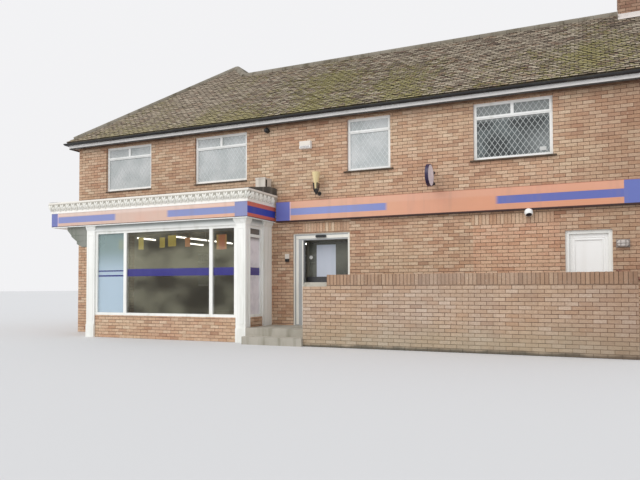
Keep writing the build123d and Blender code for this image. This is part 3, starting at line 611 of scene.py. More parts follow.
def tile_finish():
    """Plain roof tiles: a tone for each tile, moss low down, lichen in patches, and painted shadow in the gaps between
    them and under the lower edge of each course.
    """
    s = Surface("mossy_tiles", 0.95)
    across, _, height = s.xyz
    colour = s.ramp(s.attribute("tone"), [
        (0.0, 98, 82, 70), (0.2, 154, 138, 120), (0.4, 188, 174, 152), (0.55, 128, 110, 94), (0.75, 200, 186, 164),
        (0.9, 160, 134, 112), (1.0, 112, 88, 76),
    ])
    moss = s.add_share(s.fade(height, 8.0, 5.4), 0.13, s.noise(0.5, 5.0, 0.6))
    moss = s.fade(s.plus(moss, s.times(s.noise(9.0, 5.0, 0.75), 1.1)), 1.12, 1.3)
    green = s.blend(s.noise(22.0, 3.0, 0.7), (92, 84, 30), (190, 181, 106))
    colour = s.tint(colour, moss, 0.8, green)
    colour = s.tint(colour, s.fade(s.noise(24.0), 0.6, 0.68), 0.7, (204, 198, 172))
    colour = s.tint(colour, s.fade(across, 7.5, 2.5), 0.3, (208, 190, 168))
    # Painted shadow: darker at each tile's sides, just under the lower edge of the course above, and along its own
    # lower edge
    sides = s.fade(s.math("ABSOLUTE", s.attribute("across")), 0.78, 0.96)
    rise = s.attribute("rise")
    lap = s.most(s.fade(rise, 0.5, 0.82), s.fade(rise, 0.07, 0.0))
    colour = s.tint(colour, s.most(sides, lap), 0.72, (50, 44, 36))
    s.finish(colour, s.add_share(moss, 0.8, s.noise(55.0, 4.0)), 0.8, 0.012)


def sign_finish(name, end_panels, bare, band, washed, deep, paled, oranges, blues, panels):
    """Sign board with a blue band on orange, blue end panels and a bare stretch. The left is paler, partly sun-faded
    paint and partly a painted wash of light, and the end faces take deeper colours as painted shade.
    """
    s = Surface(name, 0.42)
    across, _, height = s.xyz
    forward = s.math("LESS_THAN", s.side, 0.5)
    cover = s.rest(s.times(s.between(across, *bare, 0.05), forward))
    stripe = s.times(s.between(height, *band), cover)
    ends = s.times(s.rest(s.between(across, *end_panels, 0.003)), forward)
    # The paler left is partly sun-faded paint and partly a painted wash of light
    sun = s.fade(across, *washed)
    orange = s.tint(s.blend(sun, *oranges), s.weather["Patch"], 0.25, (226, 160, 138))
    orange = s.tint(orange, s.fade(height, band[1] - 0.02, band[1] + 0.05), paled, (238, 222, 214))
    colour = s.blend(stripe, orange, s.blend(sun, *blues))
    colour = s.blend(ends, colour, s.blend(sun, *panels))
    # Painted shade: the end faces, turned away from the light, take deeper, darker colours
    colour = s.tint(colour, s.rest(forward), deep, s.blend(stripe, (212, 98, 78), (34, 58, 176)))
    pale_line = s.times(s.between(across, end_panels[0], end_panels[0] + 0.03, 0.01), forward)
    colour = s.tint(colour, pale_line, 0.6, (226, 196, 212))
    colour = s.tint(colour, s.weather["Streak"], 0.14, (150, 130, 120))
    s.finish(colour, s.weather["Grain"], 0.05)


def door_glass_finish():
    """Glass of the entrance leaf, with pale patches of painted reflection, more of them in its middle."""
    s = Surface("door_glass", 0.05, alpha=0.42)
    band = s.times(s.fade(s.xyz[2], 2.4, 2.05), s.fade(s.xyz[2], 1.3, 1.75))
    painted_reflection_cloud = s.add_share(band, 0.16, s.noise(1.1, 2.0, 0.4, stretch=(1.0, 1.0, 1.8)))
    s.finish(s.blend(s.fade(painted_reflection_cloud, 0.3, 0.8), (98, 100, 92), (148, 150, 138)))


def shop_glass_finish():
    """Shop window glass with a blue band: see-through in the middle panes with pale patches of painted reflection,
    pale blue on the left, pale on the return.
    """
    s = Surface("shop_glass", 0.05)
    across, _, height = s.xyz
    middle = s.times(s.fade(height, 2.35, 2.1), s.fade(height, 1.4, 1.8))
    # Pale patches as painted reflection, more of them in the middle of the panes
    painted_reflection_cloud = s.add_share(middle, 0.2, s.noise(1.1, 2.0, 0.4, stretch=(1.0, 1.0, 1.8)))
    colour = s.blend(s.fade(painted_reflection_cloud, 0.32, 0.85), (66, 62, 50), (168, 166, 142))
    left = s.fade(across, 2.78, 2.76)
    pale_blue = s.blend(s.fade(height, 1.6, 2.3), (204, 222, 234), (156, 176, 174))
    lines = s.most(s.between(height, 1.53, 1.565), s.between(height, 1.655, 1.685))
    colour = s.blend(left, colour, s.blend(lines, pale_blue, (52, 52, 142)))
    returned = s.fade(across, 6.1, 6.12)
    grey = s.blend(s.fade(s.noise(3.0), 0.4, 0.7), (255, 250, 254), (232, 228, 234))
    grey = s.blend(s.fade(height, 2.3, 2.45), grey, (120, 116, 112))
    colour = s.blend(returned, colour, grey)
    band = s.times(s.between(height, *BLUE_BAND), s.rest(left))
    colour = s.tint(colour, band, 0.92, (54, 50, 142))
    covered = s.plus(s.times(left, 0.16), s.times(returned, 0.56))
    covered = s.most(covered, s.times(band, 0.3))
    s.tree.links.new(s.plus(covered, 0.32), s.shader["Alpha"])
    s.finish(colour)


def upper_room_finish():
    """Clear glass of the right-hand upper window, opaque here and painted with the shade of the dark room behind it;
    paler top lights and lower right.
    """
    s = Surface("glass_with_painted_dark_room", 0.12)
    across, _, height = s.xyz
    colour = s.blend(s.fade(s.noise(1.8, 4.0), 0.4, 0.64), (56, 60, 60), (98, 105, 105))
    corner = s.times(s.fade(across, 11.9, 12.6), s.fade(height, 4.7, 4.2))
    colour = s.tint(colour, corner, 0.75, (142, 147, 146))
    colour = s.tint(colour, s.fade(height, 4.74, 4.8), 0.8, (148, 152, 150))
    s.finish(colour, s.noise(90.0, 2.0))


def obscured_finish():
    """Patterned glass over a net curtain: pale, with slow changes."""
    s = Surface("obscured_glass", 0.18)
    colour = s.blend(s.fade(s.noise(1.6, 4.0), 0.35, 0.65), (180, 185, 184), (204, 206, 205))
    s.finish(colour, s.noise(90.0, 2.0), 0.15)


def height_finish(name, stops, low, high, roughness=0.5, alpha=1.0):
    """Plain surface whose colour changes with height, from stops between two levels."""
    s = Surface(name, roughness, alpha=alpha)
    height = s.use(HEIGHT, Ragged=0.01)["Height"]
    colour = s.ramp(s.add("MapRange", {0: height, 1: low, 2: high})[0], stops)
    s.finish(s.tint(colour, s.weather["Streak"], 0.14, (150, 146, 134)), s.weather["Grain"])


def disc_sign_finish():
    """Oval hanging sign: pale faces inside a dark rim."""
    s = Surface("disc_sign", 0.35)
    low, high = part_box("projecting_sign")
    middle, size = (low + high) / 2, (high - low) / 2
    placed = s.add("Mapping", {
        "Vector": s.add("TexCoord")["Object"], "Scale": (0, 1 / DISC_HALF_WIDTH, 1 / size.z),
        "Location": (0, DISC_MIDDLE_Y / -DISC_HALF_WIDTH, -middle.z / size.z),
    })[0]
    reach = s.add("VectorMath", {0: placed}, operation="LENGTH")["Value"]
    face = s.times(s.fade(reach, 0.93, 0.89), s.math("GREATER_THAN", s.side, 0.8))
    pale = s.blend(s.weather["Patch"], (248, 242, 252), (226, 222, 236))
    s.finish(s.blend(face, (44, 32, 68), pale), s.weather["Grain"])


def glow_finish(name, colour, strength):
    s = Surface(name, 0.4)
    for key, value in (("Base Color", colour), ("Emission Color", colour), ("Emission Strength", strength)):
        s.shader[key].default_value = value


WALL_STOPS = [
    (0.0, 202, 163, 133), (0.16, 216, 187, 157), (0.34, 188, 149, 117), (0.52, 222, 197, 167), (0.68, 178, 136, 106),
    (0.84, 228, 206, 177), (1.0, 158, 116, 89),
]
INFILL_STOPS = [(0.0, 214, 166, 136), (0.35, 226, 188, 156), (0.7, 200, 151, 119), (1.0, 230, 198, 169)]
CHIMNEY_STOPS = [
    (0.0, 168, 130, 106), (0.3, 194, 158, 130), (0.6, 146, 106, 84), (0.85, 208, 178, 150), (1.0, 126, 90, 74),
]
SCREEN_STOPS = [
    (0.0, 180, 146, 120), (0.3, 200, 174, 150), (0.6, 184, 156, 132), (0.85, 208, 186, 166), (1.0, 166, 134, 112),
]
SOLDIER_STOPS = [(0.0, 136, 106, 86), (0.4, 172, 140, 116), (0.7, 152, 120, 98), (1.0, 186, 158, 134)]
WALL_PATCH = ((196, 146, 120), (214, 188, 158), (140, 104, 80), (234, 212, 188))
CHIMNEY_PATCH = ((140, 108, 96), (172, 150, 136), (96, 78, 70), (196, 182, 168))
SCREEN_PATCH = ((186, 150, 116), (188, 172, 158), (146, 120, 98), (216, 200, 182))
brick_finish("wall_brickwork", WALL_STOPS, WALL_PATCH, bonded=True)
brick_finish("screen_brickwork", SCREEN_STOPS, SCREEN_PATCH, bonded=True, algae=True)
brick_finish("laid_brick", WALL_STOPS, WALL_PATCH)
brick_finish("infill_brick", INFILL_STOPS, WALL_PATCH)
brick_finish("chimney_brick", CHIMNEY_STOPS, CHIMNEY_PATCH)
brick_finish("laid_screen_brick", SCREEN_STOPS, SCREEN_PATCH, algae=True)
brick_finish("soldier_brick", SOLDIER_STOPS, SCREEN_PATCH)
mortar_finish()
tile_finish()
door_glass_finish()
shop_glass_finish()
upper_room_finish()
obscured_finish()
disc_sign_finish()
glow_finish("tube_glow", (1.0, 0.96, 0.86, 1.0), 4.0)

# Each one's colour, dirt, roughness, amount of dirt, grain, metallic and alpha
for name, values in {
    "white_plastic": ((246, 246, 243), (204, 204, 194), 0.35),
    "white_paint": ((246, 246, 241), (200, 200, 186), 0.45, 0.35),
    "leaf_paint": ((248, 246, 238), (214, 212, 198), 0.6, 0.3),
    "bead_paint": ((250, 246, 240), (222, 218, 206), 0.5, 0.25),
    "door_paint": ((246, 245, 242), (220, 216, 208), 0.3, 0.2),
    "concrete": ((176, 170, 158), (128, 124, 108), 0.9, 0.6, 0.5),
    "dark_sill_tile": ((92, 76, 60), (60, 50, 40), 0.8, 0.6, 0.4),
    "fired_clay": ((150, 108, 84), (110, 92, 76), 0.85, 0.6, 0.4),
    "ridge_clay": ((134, 127, 114), (96, 88, 72), 0.9, 0.9, 0.5),
    "black_plastic": ((28, 27, 29), (66, 64, 60), 0.4, 0.4),
    "black_felt": ((48, 46, 46), (120, 116, 106), 0.95, 0.9, 0.6),
    "deck_felt": ((96, 96, 94), (130, 130, 118), 0.95, 0.6, 0.6),
    "door_metal": ((176, 178, 178), (138, 138, 134), 0.35, 0.3, 0.1, 0.2),
    "door_edge": ((242, 240, 230), (212, 208, 192), 0.35, 0.3),
    "leaf_metal": ((124, 121, 110), (98, 96, 90), 0.4, 0.4, 0.1, 0.1),
    "dark_metal": ((62, 62, 66), (104, 104, 100), 0.4, 0.4, 0.1, 0.3),
    "floor_timber": ((150, 128, 100), (108, 90, 70), 0.7, 0.5, 0.3),
    "cream_paint": ((232, 224, 212), (176, 166, 152), 0.6, 0.6),
    "lamp_cream": ((238, 218, 168), (198, 178, 124), 0.5, 0.5),
    "brown_paint": ((128, 84, 66), (92, 62, 50), 0.4, 0.5),
    "bracket_paint": ((138, 139, 131), (100, 108, 92), 0.6, 0.8),
    "lead": ((216, 208, 202), (160, 154, 146), 0.6, 0.5),
    "leading": ((214, 218, 218), (160, 164, 162), 0.5, 0.4),
    "faint_leading": ((198, 200, 199), (180, 184, 182), 0.5, 0.3),
    "bright_leading": ((190, 194, 192), (146, 150, 148), 0.4, 0.4),
    "painted_shadow_trim": ((58, 30, 26), (36, 22, 20), 0.6, 0.5),
    "top_trim": ((168, 96, 72), (120, 76, 60), 0.6, 0.5),
    "smoked_dome": ((36, 34, 40), (70, 66, 72), 0.12, 0.3),
    "fitting_grey": ((150, 140, 134), (110, 102, 96), 0.5, 0.5),
    "bulkhead_glass": ((208, 200, 194), (160, 150, 142), 0.3, 0.6),
    "yellow_card": ((246, 222, 84), (226, 190, 70), 0.6, 0.4),
    "orange_card": ((236, 150, 70), (206, 122, 60), 0.6, 0.4),
    "red_card": ((226, 76, 54), (240, 196, 84), 0.6, 0.9),
    "notice_paper": ((206, 212, 224), (190, 200, 210), 0.6, 0.5),
    "return_panel": ((206, 206, 202), (176, 178, 176), 0.6, 0.5),
    "blue_film": ((64, 60, 150), (96, 96, 176), 0.4, 0.5, 0.1, 0.0, 0.92),
}.items():
    plain_finish(name, *values)

# Cornice paint with painted shade: darker in the upper cove between the leaves, below the crown; pale at the crown and
# the lower edge
height_finish("cornice_paint_and_shade", [
    (0.0, 250, 247, 240), (0.12, 244, 241, 233), (0.3, 202, 199, 187), (0.7, 166, 162, 151), (0.8, 176, 171, 160),
    (0.84, 230, 225, 214), (1.0, 242, 238, 230),
], 3.22, 3.475, 0.6)
# Beam paint with painted shade: it darkens towards its top, under the canopy
height_finish("beam_paint_and_shade", [
    (0.0, 236, 236, 232), (0.3, 214, 216, 212), (0.6, 176, 180, 178), (0.8, 150, 154, 152), (1.0, 160, 160, 156),
], 2.68, 2.83)
# Fascia paint with painted shadow: dark brown along its bottom edge, where the soffit shades it, white above
height_finish(
    "fascia_paint_and_shadow", [(0.0, 46, 38, 34), (0.2, 54, 46, 40), (0.24, 242, 238, 234), (1.0, 254, 252, 250)], 5.19, 5.34
)
height_finish("left_pane_film", [
    (0.0, 214, 232, 246), (0.453, 206, 226, 240), (0.456, 52, 52, 142), (0.472, 52, 52, 142), (0.475, 202, 222, 238),
    (0.516, 196, 216, 232), (0.52, 52, 52, 142), (0.532, 52, 52, 142), (0.536, 190, 212, 218), (1.0, 160, 182, 180),
], 0.625, 2.615, alpha=0.88)
sign_finish(
    "canopy_stripes", (0.62, 6.02), (2.55, 4.15), (2.93, 3.09), (3.4, 6.3), 0.9, 0.4,
    oranges=((212, 182, 166), (222, 172, 146)), blues=((134, 142, 192), (132, 144, 190)),
    panels=((112, 120, 178), (134, 140, 184)),
)
sign_finish(
    "wall_stripes", (6.785, 13.98), (9.2, 11.6), (2.972, 3.135), (7.5, 12.5), 0.5, 0.08,
    oranges=((222, 168, 138), (214, 150, 116)), blues=((137, 148, 202), (95, 105, 174)),
    panels=((110, 118, 190), (99, 111, 178)),
)

# Which nodes of the construction have which finish
for finish, painted in {
    "wall_brickwork": "front_wall_left front_wall_middle front_wall_right front_wall_upper door_lintels left_wall "
    "wing_back_wall wing_right_wall range_back_wall party_wall bay_base",
    "mortar": "chimney_stack screen_coping",
    "screen_brickwork": "screen_wall",
    "concrete": "ground_floor landing screen_end_coping",
    "floor_timber": "first_floor attic_floor",
    "white_plastic": "back_window_frames window_frame_1 window_frame_2 window_frame_3 window_frame_4 dome_camera "
    "siren_box",
    "white_paint": "bay_frames bay_pilasters canopy_boards side_door_frame",
    "obscured_glass": "window_glass_1 window_glass_2 window_glass_3 back_window_glass",
    "glass_with_painted_dark_room": "window_glass_4",
    "cornice_paint_and_shade": "cornice",
    "beam_paint_and_shade": "bay_beam",
    "fascia_paint_and_shadow": "fascia_boards",
    "door_paint": "side_door",
    "dark_sill_tile": "stone_sills tile_sills",
    "fired_clay": "chimney_pots",
    "ridge_clay": "ridge_tiles",
    "mossy_tiles": "roof_slopes",
    "black_plastic": "rainwater_pipes door_sensor",
    "deck_felt": "canopy_deck",
    "canopy_stripes": "canopy_sign",
    "wall_stripes": "wall_sign",
    "bracket_paint": "canopy_bracket",
    "cream_paint": "plant_box",
    "shop_glass": "bay_glass",
    "door_glass": "entrance_door_glass",
    "leaf_metal": "entrance_door",
    "door_metal": "entrance_frame door_operator",
    "bulkhead_glass": "bulkhead_light",
    "lamp_cream": "wall_lamp",
    "brown_paint": "handrail",
    "disc_sign": "projecting_sign",
}.items():
    for node in painted.split():
        coat(nodes[node].data, finish)


# Brickwork: bricks laid over the walls, cut at openings and corners
def vary_bricks(piece):
    """Gives each brick a tone and lets it lean a little, by its place, so that a cut brick stays one brick."""
    size = 256
    tones, lifts, leans = np.random.default_rng(11).random((3, size, size))
    places = places_in(piece, 8)
    middle = places.mean(axis=1)
    column, row = (np.round(middle[:, axis] / BRICK_MODULE).astype(int) % size for axis in (0, 1))
    lean = (places[:, :, 0] - middle[:, None, 0]) * (leans[row, column][:, None] - 0.5) * BRICK_LEAN
    places[:, :, 2] += (lifts[row, column][:, None] - 0.5) * BRICK_LIFT + lean
    piece.data.vertices.foreach_set("co", places.ravel())
    keep_values(piece, "tone", "FACE", np.repeat(tones[row, column], 6))
    piece.data.update()


def brick_panel(left, right, low, high, upright=False):
    """Bricks that fill a rectangle of a wall, made in the XY plane with the wall's face at Z 0."""
    if upright:
        pitch, wide, tall = COURSE, COURSE - JOINT, SOLDIER_HEIGHT
        start, middle = left + COURSE / 2, (low + high) / 2
    else:
        pitch, wide, tall = BRICK_LENGTH, BRICK_LENGTH - JOINT, COURSE - JOINT
        start = floor(left / BRICK_LENGTH) * BRICK_LENGTH
        middle = (2 * floor(low / COURSE / 2) + 0.5) * COURSE
    piece = block(
        (start - wide / 2, middle - tall / 2, -BRICK_DEEP), (start + wide / 2, middle + tall / 2, BRICK_PROUD)
    )
    if not upright:
        piece = join([piece, twin(piece, (BRICK_LENGTH / 2, COURSE, 0))])
        repeat(piece, ceil((high - low) / COURSE / 2) + 1, (0, 2 * COURSE, 0))
    repeat(piece, ceil((right - left) / pitch) + 2, (pitch, 0, 0))
    vary_bricks(piece)
    return trim_to(piece, left, right, low, high)


def laid(origin, along, *panel, upright=False):
    """A panel of bricks, stood on its wall."""
    return place(brick_panel(*panel, upright=upright), origin, along)


def around(left, right, low, high, openings):
    """Rectangles that a wall's openings leave, each given as (left, right, low, high)."""
    levels = sorted({low, high, *(z for opening in openings for z in opening[2:] if low < z < high)})
    panels = []
    for bottom, top in zip(levels, levels[1:]):
        edges = [left]
        for opening in sorted(openings):
            if opening[2] < top - 0.001 and opening[3] > bottom + 0.001:
                edges += [max(opening[0], edges[-1]), max(opening[1], edges[-1])]
        edges.append(right)
        panels += [(start, end, bottom, top) for start, end in zip(edges[::2], edges[1::2]) if end - start > 0.004]
    return panels


def lay_wall(name, origin, along, panels, soldiers=(), finish="laid_brick", cuts=()):
    """One wall's bricks, as a single piece. Panels are measured along the wall from its origin."""
    pieces = [brick_panel(*panel) for panel in panels] + [brick_panel(*panel, upright=True) for panel in soldiers]
    wall = place(join(pieces), origin, along)
    if cuts:
        trim(wall, *cuts)
    dress(wall, name, finish)


def openings_on(wall_nodes, along):
    """The boxes of nodes as openings of a wall that runs along X or Y, each with its place across the wall."""
    axis = 0 if along[0] else 1
    origin = at(0, 0, 0)
    boxes = []
    for node in wall_nodes.split():
        for low, high in solids_of(node):
            start, end = low - origin, high - origin
            edges = sorted((start[axis] * along[axis], end[axis] * along[axis]))
            boxes.append((*edges, low.z, high.z, start[1 - axis]))
    return boxes


def lay_front_wall():
    windows = "window_frame_1 window_frame_2 window_frame_3 window_frame_4 tile_sills entrance_frame side_door_frame"
    openings = [box[:4] for box in openings_on(windows, FRONT)]
    openings += [(*box[:2], box[3] - SILL_THICKNESS, box[3]) for box in openings_on("stone_sills", FRONT)]
    over_entrance = (7.08, 8.28, FIRST_SOLDIER_Z, LAST_SOLDIER_Z)
    over_infill = (11.06, 12.71, FIRST_SOLDIER_Z, LAST_SOLDIER_Z)
    infill = (11.10, 12.81, LANDING_Z, FIRST_SOLDIER_Z)
    behind_shopfront = (SHOPFRONT_LEFT, SHOPFRONT_RIGHT, 0.0, 2.83)
    behind_canopy = (0.43, 6.33, 2.83, 3.25)
    behind_landing = (SHOPFRONT_RIGHT, 14.1, 0.0, LANDING_Z)
    behind_step = (14.1, 14.4, 0.0, 0.17)
    behind_wall_sign = (6.43, 14.44, 2.86, 3.29)
    openings += [
        behind_shopfront, behind_canopy, behind_landing, behind_step, behind_wall_sign, over_entrance, over_infill,
        infill,
    ]
    panels = around(-CORNER_LAP, LENGTH + CORNER_LAP, 0.0, EAVES_Z, openings)
    lay_wall("front_bricks", at(0, 0, 0), FRONT, panels, (over_entrance, over_infill))
    lay_wall("infill_bricks", at(0, 0, 0), FRONT, (infill,), finish="infill_brick")


def lay_other_walls():
    half = BRICK_LENGTH / 2
    windows = openings_on("back_window_frames", BACK)
    side_windows = openings_on("back_window_frames", LEFT)
    range_windows = [box[:4] for box in windows if 4.9 < box[4] < 5.2]
    wing_windows = [box[:4] for box in windows if abs(box[4] - WING_DEPTH) < 0.3]
    side_windows = [(box[0] + half, box[1] + half, *box[2:4]) for box in side_windows if box[4] < 0.2]
    for name, origin, along, left, right, openings in (
        ("range_back_bricks", at(0, RANGE_DEPTH, 0), BACK, -LENGTH - CORNER_LAP, -WING_WIDTH, range_windows),
        ("wing_back_bricks", at(0, WING_DEPTH, 0), BACK, -WING_WIDTH - CORNER_LAP, CORNER_LAP, wing_windows),
        ("left_wall_bricks", at(0, half, 0), LEFT, half - WING_DEPTH - CORNER_LAP, half + CORNER_LAP, side_windows),
        ("wing_right_bricks", at(WING_WIDTH, 0, 0), RIGHT, RANGE_DEPTH, WING_DEPTH + CORNER_LAP, ()),
    ):
        lay_wall(name, origin, along, around(left, right, 0.0, EAVES_Z, openings))
    slant, rise = sin(PITCH), cos(PITCH)
    eaves = TILE_EDGE_Z + tan(PITCH) * TILE_EDGE_OUT - 0.04
    lay_wall(
        "gable_bricks", at(LENGTH, half, 0), RIGHT, [(-half - CORNER_LAP, RANGE_DEPTH - half + CORNER_LAP, 0.0, 7.5)],
        cuts=((at(0, 0, eaves), (0, -slant, rise)), (at(0, RANGE_DEPTH, eaves), (0, slant, rise))),
    )


def lay_chimney():
    low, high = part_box("chimney_stack")
    middle = Vector(((low.x + high.x) / 2, (low.y + high.y) / 2, high.z - 4 * COURSE))
    pieces = []
    for out, bottom, top in ((0, CHIMNEY_FOOT, 0), (CHIMNEY_BAND, 0, 2 * COURSE), (0, 2 * COURSE, 4 * COURSE)):
        wide = (high.x - low.x) / 2 - CHIMNEY_BAND + out
        deep = (high.y - low.y) / 2 - CHIMNEY_BAND + out
        for along, half, reach in ((FRONT, wide, deep), (BACK, wide, deep), (LEFT, deep, wide), (RIGHT, deep, wide)):
            origin = middle + Vector(along).cross(UP) * reach
            pieces.append(laid(origin, along, -half - CORNER_LAP, half + CORNER_LAP, bottom, top))
    dress(join(pieces), "chimney_bricks", "chimney_brick")


def lay_shopfront_base():
    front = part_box("bay_base")[0].y - FRONT_Y
    pieces = [
        laid(at(0, front, 0), FRONT, 1.8, 5.99, 0.0, SHOPFRONT_BASE_Z),
        laid(at(SHOPFRONT_RIGHT, 0, 0), RIGHT, -1.03, -0.42, 0.0, SHOPFRONT_BASE_Z),
        laid(at(SHOPFRONT_LEFT, 0, 0), LEFT, CORNER_LAP, 1.05, 0.0, 2.68),
    ]
    dress(join(pieces), "shopfront_base_bricks", "laid_brick")


def lay_screen_wall():
    low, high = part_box("screen_wall")
    left, right = low.x - CORNER_X, high.x - CORNER_X
    front, back = low.y - FRONT_Y, high.y - FRONT_Y
    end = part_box("screen_coping")[0].x - CORNER_X
    end_z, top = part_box("screen_end_coping")[0].z, high.z
    middle, half = (front + back) / 2, (back - front) / 2 + CORNER_LAP
    pieces = []
    for first, last, height in ((left - CORNER_LAP, end, end_z), (end, right + CORNER_LAP, top)):
        pieces.append(laid(at(0, front, 0), FRONT, first, last, 0.0, height))
        pieces.append(laid(at(0, back, 0), BACK, -last, -first, LANDING_Z, height))
    pieces.append(laid(at(left, middle, 0), LEFT, -half, half, 0.0, end_z))
    pieces.append(laid(at(right, middle, 0), RIGHT, -half, half, 0.0, top))
    dress(join(pieces), "screen_wall_bricks", "laid_screen_brick")
    pitch = (right - end) / COPING_SOLDIERS
    coping_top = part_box("screen_coping")[1].z
    soldier = board(
        at(end + JOINT / 2, front - BRICK_PROUD, top + 0.004),
        at(end + pitch - JOINT / 2, back + BRICK_PROUD, coping_top + 0.003), 0.004, 1,
    )
    corners, faces = len(soldier.data.vertices), len(soldier.data.polygons)
    repeat(soldier, COPING_SOLDIERS, (pitch, 0, 0))
    tone_each(soldier, corners, faces, 31, lift=0.0012)
    dress(soldier, "coping_soldiers", "soldier_brick")


# Sills, trims and the canopy's ornament
def make_sills():
    slabs = [
        board((low.x, low.y, high.z - SILL_THICKNESS), (high.x, high.y + 0.043, high.z), 0.006)
        for low, high in solids_of("stone_sills")
    ]
    dress(join(slabs), "upper_window_sills", "dark_sill_tile", stands_for=("stone_sills",))


def make_leaf():
    """One leaf of the cornice: three lobes that spread from a narrow foot, and a dart beside them."""
    lobes = []
    narrowed = (bpy.ops.transform.resize, {"value": (0.6, 0.8, 1), "center_override": (0, 0, 0)})
    for side, radii in ((0, (0.03, 0.03, 0.084)), (-1, (0.026, 0.025, 0.066)), (1, (0.026, 0.025, 0.066))):
        lobe = work_on(ball((0, 0, 0), radii, 12), "VERT", lambda corner: corner.co.z < -0.02, narrowed)
        turn(lobe, radians(24 * side), "Y", (0, 0, -0.06))
        lobes.append(move(lobe, (side * 0.022, 0, 0)))
    leaf = join([*lobes, ball((LEAF_PITCH / 2, 0.004, -0.01), (0.014, 0.02, 0.07), 10)])
    return turn(turn(leaf, radians(22), "Y"), radians(17), "X")


def make_cornice_leaves():
    leaf = make_leaf()
    front = twin(leaf, at(FIRST_LEAF_X, CANOPY_FRONT - LEAF_OUT, LEAF_Z))
    pieces = [repeat(front, LEAF_COUNT, (LEAF_PITCH, 0, 0))]
    corner_out = LEAF_OUT * 0.8
    for corner_x, side in ((CANOPY_RIGHT, 1), (CANOPY_LEFT, -1)):
        side_leaf = turn(twin(leaf), side * pi / 2, "Z")
        move(side_leaf, at(corner_x + side * LEAF_OUT, CANOPY_FRONT + 0.12, LEAF_Z))
        pieces.append(repeat(side_leaf, 6, (0, LEAF_PITCH, 0)))
        corner_leaf = turn(twin(leaf), side * pi / 4, "Z")
        pieces.append(move(corner_leaf, at(corner_x + side * corner_out, CANOPY_FRONT - corner_out, LEAF_Z)))
    bpy.data.objects.remove(leaf)
    leaves = join(pieces)
    pick(leaves)
    bpy.ops.object.shade_smooth()
    dress(leaves, "cornice_leaves", "leaf_paint")


def canopy_band(name, out, thickness, low, high, finish):
    """Strip that runs round the front and both ends of the canopy."""
    left, right, front = CANOPY_LEFT - out, CANOPY_RIGHT + out, CANOPY_FRONT - out
    strips = [
        block(at(left, front, low), at(right, front + thickness, high)),
        block(at(right - thickness, front + thickness, low), at(right, -0.002, high)),
        block(at(left, front + thickness, low), at(left + thickness, -0.002, high)),
    ]
    dress(join([soften(strip, min(thickness, high - low) * 0.3) for strip in strips]), name, finish)


def make_canopy_trims():
    # Painted shadow: a dark strip along the foot of the canopy sign, above the white bead
    canopy_band("canopy_shadow_trim", 0.024, 0.006, 2.842, 2.854, "painted_shadow_trim")
    canopy_band("canopy_lower_bead", 0.02, 0.02, 2.818, 2.842, "white_plastic")
    kerbs = []
    for middle in (CANOPY_LEFT - 0.015, CANOPY_RIGHT + 0.015):
        kerb = block(at(middle - 0.05, CANOPY_FRONT - 0.07, 3.47), at(middle + 0.05, -0.004, 3.65))
        trim(kerb, (at(middle, CANOPY_FRONT - 0.07, 3.485), (0, -0.165, 1.386)))
        kerbs.append(soften(kerb, 0.008))
    dress(join(kerbs), "deck_felt_kerbs", "black_felt")
    canopy_band("canopy_upper_bead", 0.034, 0.024, 3.186, 3.236, "bead_paint")


def make_sign_trims():
    low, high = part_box("wall_sign")
    front, back = low.y - 0.002, high.y - 0.002
    # The lower strip is painted shadow under the wall sign
    for name, bottom, top, width, finish in (
        ("wall_sign_shadow_strip", low.z - 0.034, low.z, 0.003, "painted_shadow_trim"),
        ("wall_sign_upper_trim", high.z, high.z + 0.008, 0.002, "top_trim"),
    ):
        dress(board((low.x, front, bottom), (high.x, back, top), width), name, finish)


def make_upper_window_card():
    """Small pale card in the lower right corner of the right-hand upper window."""
    card = board(at(12.45, 0.0735, 4.045), at(12.58, 0.0765, 4.125), 0.001, 1)
    dress(card, "upper_window_card", "return_panel")


def make_bracket():
    """Three shaped boards under the canopy's left end, each one cut back further than the one above it."""
    boards = []
    for left, low, high, cut_x, cut_z in (
        (0.865, 2.6, 2.83, 1.01, 2.74), (1.0, 2.45, 2.6, 1.18, 2.58), (1.19, 2.3, 2.45, 1.37, 2.38),
    ):
        shaped = block(at(left, SHOPFRONT_Y, low), at(SHOPFRONT_LEFT, SHOPFRONT_Y + 0.09, high))
        trim(shaped, (at(left, SHOPFRONT_Y, cut_z), (low - cut_z, 0, left - cut_x)))
        boards.append(soften(shaped, 0.008))
    dress(join(boards), "canopy_bracket_boards", "bracket_paint", stands_for=("canopy_bracket",))


def upright_ring(low, high, width):
    """Rectangular bead that lies on a surface facing the front."""
    (left, front, bottom), (right, back, top) = low, high
    bars = [
        block((left, front, bottom), (left + width, back, top)),
        block((right - width, front, bottom), (right, back, top)),
        block((left + width, front, bottom), (right - width, back, bottom + width)),
        block((left + width, front, top - width), (right - width, back, top)),
    ]
    return join([soften(bar, min(width, back - front) * 0.3) for bar in bars])


def make_pilaster_panels():
    low, high, proud, width = 0.42, 2.6, 0.006, 0.014
    rings = [
        upright_ring(at(left + 0.045, SHOPFRONT_Y - proud, low), at(left + 0.215, SHOPFRONT_Y + 0.001, high), width)
        for left in (SHOPFRONT_LEFT, 5.99)
    ]
    side = turn(upright_ring((-0.085, -proud, low), (0.085, 0.001, high), width), pi / 2, "Z")
    rings += [twin(side, at(6.25, middle, 0)) for middle in (-1.14, -0.21)]
    bpy.data.objects.remove(side)
    dress(join(rings), "pilaster_panel_beads", "white_paint")


